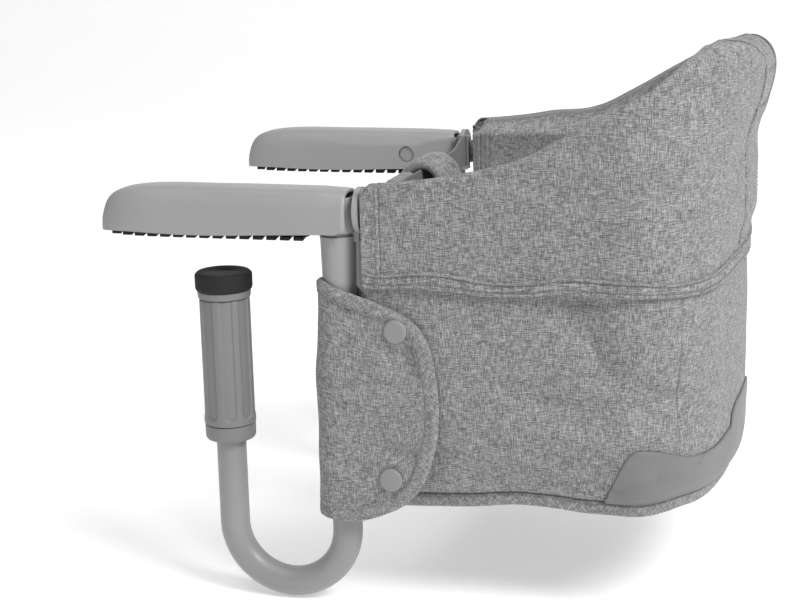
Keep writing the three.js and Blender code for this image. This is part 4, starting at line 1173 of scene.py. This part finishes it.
# Base and cushion
BASE = Sizes(inset=24.4, front=25, side_share=0.86, middle_x=150, level=-199.2, rim_share=0.88)
CUSHION = Sizes(low=-193.3, crown=21, inset=35.5, front=33, side_share=0.8, spread=120,
                layer_shares=[(0, 0.08), (0.1, 0.015), (0.3, 0), (0.5, 0), (0.72, 0.02), (0.86, 0.09),
                              (0.94, 0.22), (0.985, 0.48), (1, 0.8)])


def ring_point(around, side_share, inset, front):
    """A place on a closed ring: round the sides and back up to side_share, then across the front."""
    if around <= side_share:
        return plan_point(lerp(-1, 1, around / side_share), inset, front)
    across = lerp(1, -1, (around - side_share) / (1 - side_share))
    return front, across * (SEAT.half_width - inset)


def seat_base():
    def place(around, out):
        edge = Vector(ring_point(around, BASE.side_share, BASE.inset, BASE.front))
        x, y = Vector((BASE.middle_x, 0)).lerp(edge, out)
        lift = 0
        if around <= BASE.side_share:
            lift = foot_lift(along_at(lerp(-1, 1, around / BASE.side_share)), SEAT.bottom)
        rise = max(0, lift) * smooth((out - BASE.rim_share) / (1 - BASE.rim_share))
        return Vector((x, y, BASE.level + rise))

    bm = sheet_mesh(160, 30, place, lambda around, out: place(around, out).xy)
    cloth = finished("seat_base_cloth", bm, "melange_fabric", nodes=["seat_base"], open_sheet=True, wall=2.2)


def seat_cushion():
    layers = CUSHION.layer_shares

    def place(around, up):
        spot = up * (len(layers) - 1)
        first = min(int(spot), len(layers) - 2)
        rise, inward = (lerp(low, high, spot - first) for low, high in zip(layers[first], layers[first + 1]))
        drawn_in = CUSHION.spread * inward
        x, y = ring_point(around, CUSHION.side_share, CUSHION.inset + drawn_in, CUSHION.front + drawn_in)
        return Vector((x, y, CUSHION.low + CUSHION.crown * rise))

    bm = sheet_mesh(110, 24, place, lambda around, up: (around * 700, up * 130))
    bmesh.ops.remove_doubles(bm, verts=bm.verts, dist=0.01)
    bmesh.ops.holes_fill(bm, edges=[edge for edge in bm.edges if edge.is_boundary], sides=0)
    pad = finished("cushion_pad", bm, "lining_fabric", nodes=["seat_cushion"])
    filled(pad, 4, 5, lambda spot: spot.z < CUSHION.low + 1)


# Crotch strap and the padded loop that it holds up
STRAP = Sizes(low=-196.6, high=-15.3, half_width=27, thick=4, foot_x=28.4, top_x=30, bow=5, soft=0.3,
              rim=4, rim_drop=0.5)
LOOP = Sizes(x=27, z=10.5, half_depth=21.5, half_height=26.5, wall=8, half_width=27, roundness=0.34,
             puff=0.35)


def strap_skin(across, up, lift):
    x = lerp(STRAP.foot_x, STRAP.top_x, up) - STRAP.bow * math.sin(math.pi * up) - STRAP.thick / 2 - lift
    return Vector((x, across, lerp(STRAP.low, STRAP.high, up)))


def crotch_strap():
    height, width = STRAP.high - STRAP.low, 2 * STRAP.half_width

    def place(across, up):
        soft = STRAP.soft * noise.noise(Vector((across * 3, up * 7, 6)))
        edge = STRAP.rim_drop * (1 - smooth(min(across, 1 - across) * width / STRAP.rim))
        return strap_skin(lerp(STRAP.half_width, -STRAP.half_width, across), up, soft - edge)

    bm = sheet_mesh(24, 60, place, lambda across, up: (across * width, up * height))
    cloth = finished("crotch_strap_cloth", bm, "melange_fabric", nodes=["crotch_strap"], open_sheet=True,
                     wall=STRAP.thick - 0.6, bevel=1)


def crotch_loop():
    middle_depth = LOOP.half_depth - LOOP.wall / 2
    middle_height = LOOP.half_height - LOOP.wall / 2

    def rounded_off(wave, power):
        return math.copysign(abs(wave) ** power, wave)

    def place(around, section):
        angle = around * FULL_TURN
        turn = section * FULL_TURN
        thick = rounded_off(math.sin(turn), LOOP.roundness * 1.6) * LOOP.wall / 2
        wide = rounded_off(math.cos(turn), LOOP.roundness) * LOOP.half_width
        puff = LOOP.puff * noise.noise(Vector((math.cos(angle) * 2, math.sin(angle) * 2, wide / 14)))
        return Vector((LOOP.x + math.cos(angle) * (middle_depth + thick + puff), wide,
                       LOOP.z + math.sin(angle) * (middle_height + thick + puff)))

    bm = sheet_mesh(96, 36, place, lambda around, section: (around * 140, section * 120))
    pad = finished("crotch_loop_pad", bm, "melange_fabric", nodes=["crotch_loop"])


# Waist belt and its buckle
BELT = Sizes(height=25, thick=1.8, end_x=22, end_z=21.5, middle_x=27, middle_z=17, lug=18.8)
BUCKLE = Sizes(start=-100, body=27, height=30, depth=10, tongue=15, gap=0.3)
LUG_Y = LEG.apart - BELT.lug
LUG_FACE = LUG_Y - 0.3


def belt_middle(y):
    share = smooth(2 * (1 - min(1, abs(y) / LUG_Y)))
    return lerp(BELT.end_x, BELT.middle_x, share), lerp(BELT.end_z, BELT.middle_z, share)


def waist_belt(side, start, end):
    def place(across, up):
        y = lerp(end, start, across)
        x, z = belt_middle(y)
        return Vector((x - BELT.thick / 2, y, z + (up - 0.5) * BELT.height))

    length = end - start
    columns = max(10, int(length / 3))
    bm = sheet_mesh(columns, 8, place, lambda across, up: (across * length, up * BELT.height))
    belt = finished(f"belt_webbing_{side}", bm, "webbing", nodes=[f"waist_belt_{side}"], open_sheet=True,
                    wall=BELT.thick, bevel=0.5)
    belt_end(side)


def belt_end(side):
    """The end of the belt is sewn round the lug of the socket."""
    line = Line([(24.4, 19.6, 0), (20, 19.8, 0), (16.9, 19.5, 0), (15.9, 17.8, 0), (15.7, 14, 0)])

    def place(across, up):
        return line.at(across) + Vector((0, 0, BELT.end_z + (up - 0.5) * BELT.height))

    bm = sheet_mesh(24, 8, place, lambda across, up: (across * line.length, up * BELT.height))
    return finished("belt_end", bm, "webbing", nodes=["waist_belt"], side=side, open_sheet=True, wall=1.4)


def buckle_part(name, node, start, length):
    x, z = belt_middle(BUCKLE.start + BUCKLE.body / 2)
    low = (x - BUCKLE.depth / 2, start, z - BUCKLE.height / 2)
    high = (x + BUCKLE.depth / 2, start + length, z + BUCKLE.height / 2)
    finished(name, box_mesh(low, high), "dark_plastic", nodes=[node], bevel=2.2)


def waist_belts():
    tongue_start = BUCKLE.start + BUCKLE.body + BUCKLE.gap
    waist_belt("left", -LUG_FACE, BUCKLE.start - BUCKLE.gap)
    waist_belt("right", tongue_start + BUCKLE.tongue + BUCKLE.gap, LUG_FACE)
    buckle_part("buckle_body", "buckle_socket", BUCKLE.start, BUCKLE.body)
    buckle_part("buckle_end", "buckle_tongue", tongue_start, BUCKLE.tongue)


# Leg flap: wraps round the upright tube, its outer leaf over the side of the seat.
# It is laid out flat as (across, z): from 0 on, across is x on the outer leaf.
FLAP = Sizes(wrap=17.4, drawn_in=3.4, draw_from=-100, draw_run=60, outer=17, reach=75, thick=3,
             arc=-63.8, link=-86, seam=-122, seam_x=58, gap=1.2, rim=12)
FLAP_TOP = [(-122, -41), (-86, -41), (-60, -37), (-30, -30.5), (-12, -30), (8.8, -36.6), (30.7, -43),
            (47, -49.5), (59.6, -57.7), (68, -70), (72.5, -88), (75, -111.5)]
FLAP_LOW = [(-122, -170), (-86, -172), (-60, -195), (-30, -204), (-5, -205), (18, -204), (43, -194),
            (55, -184), (64, -171.6), (73.5, -141), (75, -111.5)]


def flap_skin(across, z, lift):
    """In the frame of one leg, where y is negative on the outside of the seat. The top of the flap is
    drawn in to the sleeve."""
    wrap = FLAP.wrap - FLAP.drawn_in * smooth((z - FLAP.draw_from) / FLAP.draw_run)
    if across >= 0:
        return Vector((across, -lerp(wrap, FLAP.outer, smooth(across / FLAP.reach * 2)) - lift, z))
    arc_end = 1.5 * math.pi + FLAP.arc / FLAP.wrap
    if across >= FLAP.arc:
        angle = 1.5 * math.pi + across / FLAP.wrap
        reach = wrap + lift
        return Vector((reach * math.cos(angle), reach * math.sin(angle), z))
    inner_y = LEG.apart - SEAT.half_width + wall_inset(z) + WALL.thick + FLAP.thick / 2 + FLAP.gap
    start = Vector((math.cos(arc_end), math.sin(arc_end), 0)) * (wrap + lift)
    if across >= FLAP.link:
        share = (across - FLAP.arc) / (FLAP.link - FLAP.arc)
        end = Vector((SEAT.front, inner_y + lift, 0))
        place = start.lerp(end, share)
        return Vector((place.x, lerp(start.y, end.y, smooth(share)), z))
    share = (across - FLAP.link) / (FLAP.seam - FLAP.link)
    return Vector((lerp(SEAT.front, FLAP.seam_x, share), inner_y + lift, z))


# Its soft hollows, one below the upper snap and one above the lower snap
HOLLOW = Sizes(x=52, z=-84, half_width=10, half_height=12, depth=3,
               low_line=[(18, -143), (38, -149), (56, -152)], low_half=7, low_depth=2.6)


def flap_dent(across, z):
    """The hollows, and a gentle unevenness of the padding."""
    upper = HOLLOW.depth * math.exp(-((across - HOLLOW.x) / HOLLOW.half_width) ** 2
                                    - ((z - HOLLOW.z) / HOLLOW.half_height) ** 2)
    away = distance_to(HOLLOW.low_line, Vector((across, z)))
    lower = HOLLOW.low_depth * math.exp(-(away / HOLLOW.low_half) ** 2)
    return 1.3 * noise.noise(Vector((across / 24, z / 30, 9))) - upper - lower


def leg_flap(side):
    def place(across, up):
        spot = lerp(FLAP.seam, FLAP.reach, across)
        low, high = curve_at(FLAP_LOW, spot), curve_at(FLAP_TOP, spot)
        z = lerp(low, high, up)
        swell = smooth(min(z - low, high - z, FLAP.reach - spot) / FLAP.rim)
        return flap_skin(spot, z, FLAP.thick / 2 - 0.5 + (0.8 + flap_dent(spot, z)) * swell)

    length = FLAP.reach - FLAP.seam
    bm = sheet_mesh(130, 60, place, lambda across, up: (across * length, up * 160))
    cloth = finished("leg_flap_cloth", bm, "melange_fabric", nodes=["leg_flap"], side=side,
                     open_sheet=True, wall=FLAP.thick - 0.8)
    outline = Line([(spot, z, 0) for spot, z in FLAP_TOP + FLAP_LOW[-2::-1]])
    half = FLAP.thick / 2
    profile = [(-10, half - 0.4), (-9.8, half + 0.3), (-8.4, half + 0.8), (-4, half + 1.3), (-1, half + 1),
               (0.6, half * 0.5), (1, 0), (0.6, -half * 0.5), (-1, -half - 0.2), (-5, -half - 0.4),
               (-9.6, -half - 0.1), (-10, -half + 0.6)]
    edge_mesh = band_mesh(flap_skin, outline, profile[::-1], 300)
    binding = finished("flap_binding", edge_mesh, "melange_bias", nodes=["leg_flap"], side=side,
                       open_sheet=True)
    stitches = sewn_row(flap_skin, outline, -8.4, half + 0.75)
    row = finished("flap_stitches", stitches, "thread", side=side, merge=0)


def flap_snap(name, side, x, z):
    face = -lerp(FLAP.wrap, FLAP.outer, x / FLAP.reach) - 1.9
    profile = rounded([(0.01, 0), (8.4, 0), (8.4, 2.2), (7.4, 3.2), (0.01, 3.5)], [0, 0.2, 0.9, 1.4, 0])
    bm = moved(turned(profile, 40), Matrix.Translation((x, face, z)) @ Matrix.Rotation(math.pi / 2, 4, "X"))
    finished(f"snap_cap_{name}", bm, "stud_plastic", nodes=[f"flap_snap_{name}"], side=side, merge=0.03)


# Hooked tube with its round ends open, bent by a half turn below the table
def hook_tube(side):
    radius = LEG.reach / 2
    bend = -LEG.depth + radius
    straight, back = LEG.top - bend, LEG.free_end - bend
    length = straight + math.pi * radius + back

    def middle(share):
        run = share * length
        if run < straight:
            return Vector((0, 0, LEG.top - run)), Vector((1, 0, 0))
        if run > length - back:
            return Vector((-LEG.reach, 0, bend + run - length + back)), Vector((-1, 0, 0))
        turn = (run - straight) / radius
        return (Vector((-radius + radius * math.cos(turn), 0, bend - radius * math.sin(turn))),
                Vector((math.cos(turn), 0, -math.sin(turn))))

    def place(around, share):
        spot, out = middle(share)
        angle = around * FULL_TURN
        return spot + (out * math.cos(angle) + Vector((0, 1, 0)) * math.sin(angle)) * LEG.radius

    bm = sheet_mesh(40, 140, place, lambda around, share: (around * 69, share * length))
    bmesh.ops.reverse_faces(bm, faces=bm.faces)
    finished("hook_tube_skin", bm, "grey_lacquer", "arm", ["hook_tube"], side, open_sheet=True,
             wall=LEG.wall)


# Clamp: foot, plate, fluted knob and collar, on the axis of the short leg
CLAMP = Sizes(knob_low=-141.3, knob_high=-46.5, knob_radius=19.15, knob_wall=3.6, rim=1.2, face=17.5,
              flutes=8, flute_half=5.2, flute_deep=1.2, flute_end=-136.8, flute_side=0.8)


def at_clamp(bm):
    return moved(bm, Matrix.Translation((-LEG.reach, 0, 0)))


# The plain turned pieces: (radius, height) of each corner, how round it is, finish, body and node
TURNED = {
    "foot_rubber": ([(0.01, -40.4), (20.4, -40.4), (21, -38), (21, -29), (19, -27), (0.01, -27)],
                    [0, 1, 2, 2, 1.2, 0], "black_rubber", "clamp", "clamp_foot"),
    "plate_disc": ([(4.4, -46.1), (19.2, -46.1), (19.6, -40.7), (0.01, -40.7), (0.01, -42.3), (4.4, -42.3)],
                   [0, 0.8, 0.8, 0, 0, 0], "dark_plastic", "clamp", "clamp_plate"),
    # The collar, like the knob, takes the plastic darkened with painted shade
    "collar_ring": ([(11.4, -153.5), (18.7, -153.5), (18.7, -141.6), (15.2, -141.6), (15.2, -133.6),
                     (11.4, -133.6)], [0, 4.5, 0.8, 0, 0, 0], "knob_plastic_painted_shade", "knob", "knob_collar"),
}


def clamp_stack(side):
    for name, (corners, radii, finish, body, node) in TURNED.items():
        finished(name, at_clamp(turned(rounded(corners, radii))), finish, body, [node], side)
    clamp_knob(side)


def flute_depth(aside, z):
    """A flute is a flat-bottomed hollow with steep sides and a round lower end."""
    down = max(0, CLAMP.flute_end + CLAMP.flute_half - z)
    inside = CLAMP.flute_half - math.hypot(aside, down)
    return CLAMP.flute_deep * smooth(inside / CLAMP.flute_side)


def clamp_knob(side):
    """The rows run up the outside, over the rim, down into the seat of the foot and down the bore. The
    columns crowd at the edges of each flute."""
    pitch = FULL_TURN * CLAMP.knob_radius / CLAMP.flutes
    edge = pitch / 2 - CLAMP.flute_half
    stops = [0, 1.2, 1.8, edge, edge + 0.4, edge + 0.9]
    stops += spaced(stops[-1], pitch - stops[-1], 9)[:-1] + [pitch - stop for stop in reversed(stops[1:])]
    around = [(i * pitch + stop) / CLAMP.knob_radius for i in range(CLAMP.flutes) for stop in stops]
    around.append(FULL_TURN)
    low, high, bore = CLAMP.knob_low, CLAMP.knob_high, CLAMP.knob_radius - CLAMP.knob_wall
    levels = [low, *spaced(low, low + CLAMP.rim, 4), *spaced(low + CLAMP.rim, low + 11, 26),
              *spaced(low + 11, high - CLAMP.rim, 24), high - 0.9, high - 0.5, high - 0.2, high]
    outside = [(CLAMP.knob_radius - rim_round(z, low, high, CLAMP.rim), z) for z in levels]
    inside = [(CLAMP.face, high), (11.3, high), (11.3, high - 3.2), (6.3, high - 3.2), (6.3, high - 9.2),
              (bore, high - 9.2), (bore, low), (CLAMP.face, low)]
    profile = outside + inside + outside[:1]

    def place(share, up):
        angle = around[round(share * (len(around) - 1))]
        radius, z = profile[round(up * (len(profile) - 1))]
        if radius > CLAMP.face + 0.1:
            aside = (angle * CLAMP.knob_radius) % pitch - pitch / 2
            radius -= flute_depth(aside, z)
        return Vector((radius * math.cos(angle), radius * math.sin(angle), z))

    bm = sheet_mesh(len(around) - 1, len(profile) - 1, place, lambda share, up: (share * 120, up * 150))
    # The knob's finish is darkened with painted shade
    finished("knob_grip", at_clamp(bm), "knob_plastic_painted_shade", "knob", ["clamp_knob"], side, merge=0.01)


def rim_round(z, low, high, radius):
    """How far a rounded rim draws in at this height."""
    away = min(z - low, high - z)
    if away >= radius:
        return 0
    return radius - math.sqrt(max(0, radius ** 2 - (radius - away) ** 2))


# Corner socket: the sleeve that the leg turns in, the round flange behind the arm, and the belt's lug
SOCKET = Sizes(flange_near=15.6, flange_far=19.6, flange_height=20.4, half_width=16.4, half_height=16.6,
               shoulder_end=23.9, shoulder_radius=9.5)


def corner_socket(side):
    sleeve = turned(rounded([(11.4, -60), (12.1, -60), (12.1, -31), (12.7, -3), (13.1, 2.4), (11.4, 2.4)],
                            [0, 0.4, 8, 3, 0.8, 0]))
    near, far = SOCKET.flange_near, SOCKET.flange_far
    flange = turned(rounded([(0.01, near), (1, near), (1, far), (0.01, far)], [0, 0.09, 0.03, 0]), 72)
    moved(flange, Matrix.Translation((0, 0, SOCKET.flange_height))
          @ Matrix.Diagonal((1, SOCKET.half_width, SOCKET.half_height, 1))
          @ Matrix.Rotation(math.pi / 2, 4, "Y"))
    web = box_mesh((11.6, -3, -2), (near + 1.2, 3, 5))
    shoulder = bmesh.new()
    start, end, radius = far - 1, SOCKET.shoulder_end, SOCKET.shoulder_radius
    bmesh.ops.create_cone(shoulder, cap_ends=True, segments=40, radius1=radius, radius2=radius,
                          depth=end - start, matrix=Matrix.Translation(((start + end) / 2, 0, 18))
                          @ Matrix.Rotation(math.pi / 2, 4, "Y"))
    lug = box_mesh((near + 1, 8.1, 5), (end, BELT.lug, 33))
    whole = joined(sleeve, flange, web, shoulder, lug)
    finished("socket_body", whole, "grey_plastic", nodes=["corner_socket"], side=side, bevel=0.6)


# Arm cover: a hollow beam with a blunt nose, a flank that leans into the roof, and a lip at the rear
ARM = Sizes(reach=181, nose=2.8, nose_run=70, wall=2, hub=14.6, rear=190.8, corner=7, curl=1.5,
            sweep=13.1, sweep_slope=0.165, button_x=-30, button_z=17, button_hole=6.6,
            crease_share=0.9, crease_from=-125, crease_grows=60, crease_to=8, crease_fades=20)
# Height of the roof, height of the lower edge and half width, by distance behind the nose
ARM_TOP = [(0, 4), (0.4, 9), (1, 14), (2.5, 18), (3.6, 20.9), (5, 23.7), (7.4, 26.7), (12.5, 29.8),
           (24, 32.8), (44, 34.6), (62, 35), (110, 34.6), (160, 34.3), (186, 33.9), (190.8, 33.1)]
ARM_LOW = [(0, 2.7), (9, 3.3), (26, 3.7), (41, 3.3), (57, 2.9), (70, 2.6), (84, 2.6), (106, 3), (128, 3.8),
           (149, 4.4), (170, 5), (190.8, 5.4)]
ARM_WIDTH = [(0, 4.6), (0.7, 6.6), (2.4, 9), (5.5, 11.2), (12, 13.8), (23, 16.2), (44, 17.6), (78, 18),
             (110, 17.7), (146, 17.4), (167, 17), (181, 16.7), (190.8, 16.5)]
# The creased section from the foot of the side to the middle of the roof, as shares of half width
# and of height
SIDE_SHARES = [(0, 1.0), (0.42, 0.985), (0.5, 0.94), (0.7, 0.72), (0.76, 0.58), (1, 0)]
RISE_SHARES = [(0, 0), (0.42, 0.64), (0.5, 0.7), (0.7, 0.95), (0.76, 0.985), (1, 1)]


def arm_place(run):
    """Where a place this far behind the blunt nose lies; the nose is drawn in a little."""
    return run - ARM.reach + ARM.nose * (1 - smooth(run / ARM.nose_run))


def arm_section(share, x):
    """(across, up) as shares of the half width and of the height, from the foot of the side to the
    middle of the roof. The flank is creased along the middle of the arm and round at both ends."""
    angle = share * math.pi / 2
    power = 2 / 3.3
    soft = Vector((math.cos(angle) ** power, math.sin(angle) ** power))
    sharp = Vector((table_at(SIDE_SHARES, share), table_at(RISE_SHARES, share)))
    creased = smooth((x - ARM.crease_from) / ARM.crease_grows)
    creased *= smooth((ARM.crease_to - x) / ARM.crease_fades)
    return soft.lerp(sharp, ARM.crease_share * creased)


def free_side(x):
    """How far the inner side may stand out where it turns past the flange as the arm folds."""
    return math.sqrt(ARM.sweep ** 2 - x * x) if x > 0 else ARM.sweep - ARM.sweep_slope * x


def arm_cover(side):
    half_rows = 26
    stops = [0, 0.3, 0.7, 1.2, 1.8, 2.6, 3.6, 5, 6.5, 8.2, 10.2, 12.6, 15.5, 19, 23, 28]
    stops += spaced(28, 138, 22) + spaced(138, 164, 14) + spaced(164, 183, 8) + spaced(183, ARM.rear, 20)

    def place(along, around):
        run = stops[round(along * (len(stops) - 1))]
        x = arm_place(run)
        across, up = arm_section(1 - abs(around * 2 - 1), x)
        width = curve_at(ARM_WIDTH, run) - ARM.curl * smooth((run - ARM.rear + 2.4) / 2.4) ** 2
        sink = clamped((run - ARM.rear + ARM.corner) / ARM.corner) * ARM.corner
        low = curve_at(ARM_LOW, run) + ARM.corner - math.sqrt(ARM.corner ** 2 - sink ** 2)
        top = max(curve_at(ARM_TOP, run), low + 0.8)
        y = math.copysign(width * across, 0.5 - around) if around != 0.5 else 0
        return Vector((x, min(y, free_side(x)), lerp(low, top, up)))

    bm = sheet_mesh(len(stops) - 1, 2 * half_rows, place, lambda along, around: (along * 200, around * 90))
    cut_button_hole(bm)
    finished("arm_cover_shell", bm, "grey_plastic", "arm", ["arm_cover"], side, open_sheet=True,
             wall=ARM.wall, bevel=0.6)
    arm_hub(side)
    arm_pad(side)
    lock_button(side)


# The back of the hub, which shows between the cover and the flange
def arm_hub(side):
    corners = [(12.8, 5), (ARM.hub, 5), (ARM.hub, 30.4), (12.8, 30.4)]
    hub = turned(rounded(corners, [0, 0.8, 0.5, 0]), 32, math.pi)
    moved(hub, Matrix.Rotation(-math.pi / 2, 4, "Z"))
    finished("arm_hub", hub, "grey_plastic", "arm", side=side)


# Rubber pad: a web under the cover and the slanted ribs that stand on the table
PAD = Sizes(front=-173.5, rear=-18, inset=1.1, web_low=2.5, web_high=4.6, rib=7.2, slant=5.5, ribs=15)


def arm_half_width(x):
    return curve_at(ARM_WIDTH, x + ARM.reach - ARM.nose)


def arm_pad(side):
    ribs = []
    pitch = (PAD.rear - PAD.front - PAD.rib - PAD.slant) / (PAD.ribs - 1)
    for i in range(PAD.ribs):
        start = PAD.front + i * pitch
        half = min(arm_half_width(start), arm_half_width(start + PAD.rib)) - PAD.inset
        rib = box_mesh((0, -half, 0), (PAD.rib, half, PAD.web_low + 0.2))
        for vert in rib.verts:
            vert.co.x += start + PAD.slant * SIDES[side] * vert.co.y / (2 * half)
        ribs.append(rib)
    web = sheet_mesh(60, 1, pad_edge, lambda along, up: (along * 150, up * 30))
    face = bmesh.ops.extrude_face_region(web, geom=web.faces[:])
    bmesh.ops.translate(web, vec=(0, 0, PAD.web_high - PAD.web_low),
                        verts=[part for part in face["geom"] if isinstance(part, bmesh.types.BMVert)])
    finished("pad_rubber", joined(web, *ribs), "black_rubber", "arm", ["arm_pad"], side, bevel=0.35)


def pad_edge(along, up):
    x = lerp(PAD.front + 1, PAD.rear, along)
    half = arm_half_width(x) - PAD.inset - 2.4
    return Vector((x, lerp(-half, half, up), PAD.web_low))


# The lock button, flush with the inner side of the cover
def lock_button(side):
    face = curve_at(ARM_WIDTH, ARM.button_x + ARM.reach) + 0.1
    radius, stem, bore = ARM.button_hole - 0.3, 5.9, 4.4
    outline = [(0.01, face - 1.6), (bore, face - 1.6), (bore, face - 8), (stem, face - 8),
               (stem, face - 4.6), (radius, face - 4.6), (radius, face), (0.01, face)]
    knob = turned(rounded(outline, [0, 0, 0, 0, 0, 0.2, 0.4, 0]), 40)
    moved(knob, Matrix.Translation((ARM.button_x, 0, ARM.button_z))
          @ Matrix.Rotation(-math.pi / 2, 4, "X"))
    finished("lock_button_cap", knob, "grey_plastic", "button", ["lock_button"], side, merge=0.03)


def cut_button_hole(bm):
    """Opens the inner side of the cover round the button."""
    def away(place):
        return Vector((place.x - ARM.button_x, 0, place.z - ARM.button_z))

    gone = [face for face in bm.faces if face.calc_center_median().y > 0
            and away(face.calc_center_median()).length < ARM.button_hole]
    bmesh.ops.delete(bm, geom=gone, context="FACES")
    for vert in bm.verts:
        if vert.is_boundary and vert.co.y > 0 and 0 < away(vert.co).length < ARM.button_hole + 3:
            out = away(vert.co)
            vert.co += out * (ARM.button_hole / out.length - 1)


# Making it all
for side in SIDES:
    arm_cover(side)
    corner_socket(side)
    hook_tube(side)
    clamp_stack(side)
    leg_flap(side)
    flap_snap("upper", side, 46.3, -62)
    flap_snap("lower", side, 40.3, -171.7)
    roll_cord(side)
top_roll()
upper_cover()
seat_lining()
walls()
bottom_binding()
seat_base()
wear_patch()
back_pocket()
seat_cushion()
crotch_loop()
crotch_strap()
waist_belts()


# The rest stays as it is in the model and only gets its finish, some of it on both sides
KEPT = {"arm_core": "dark_plastic", "spindle_nut": "dark_plastic", "hoop_clip": "dark_plastic",
        "arm_screw": "steel", "lock_spring": "steel", "clamp_spindle": "steel", "back_hoop": "steel",
        "seat_frame_tube": "grey_lacquer", "seat_board": "board"}
for node in bpy.data.objects:
    finish = KEPT.get(node.name.removesuffix("_left").removesuffix("_right"))
    if finish:
        for slot in node.material_slots:
            slot.material = FINISH[finish]
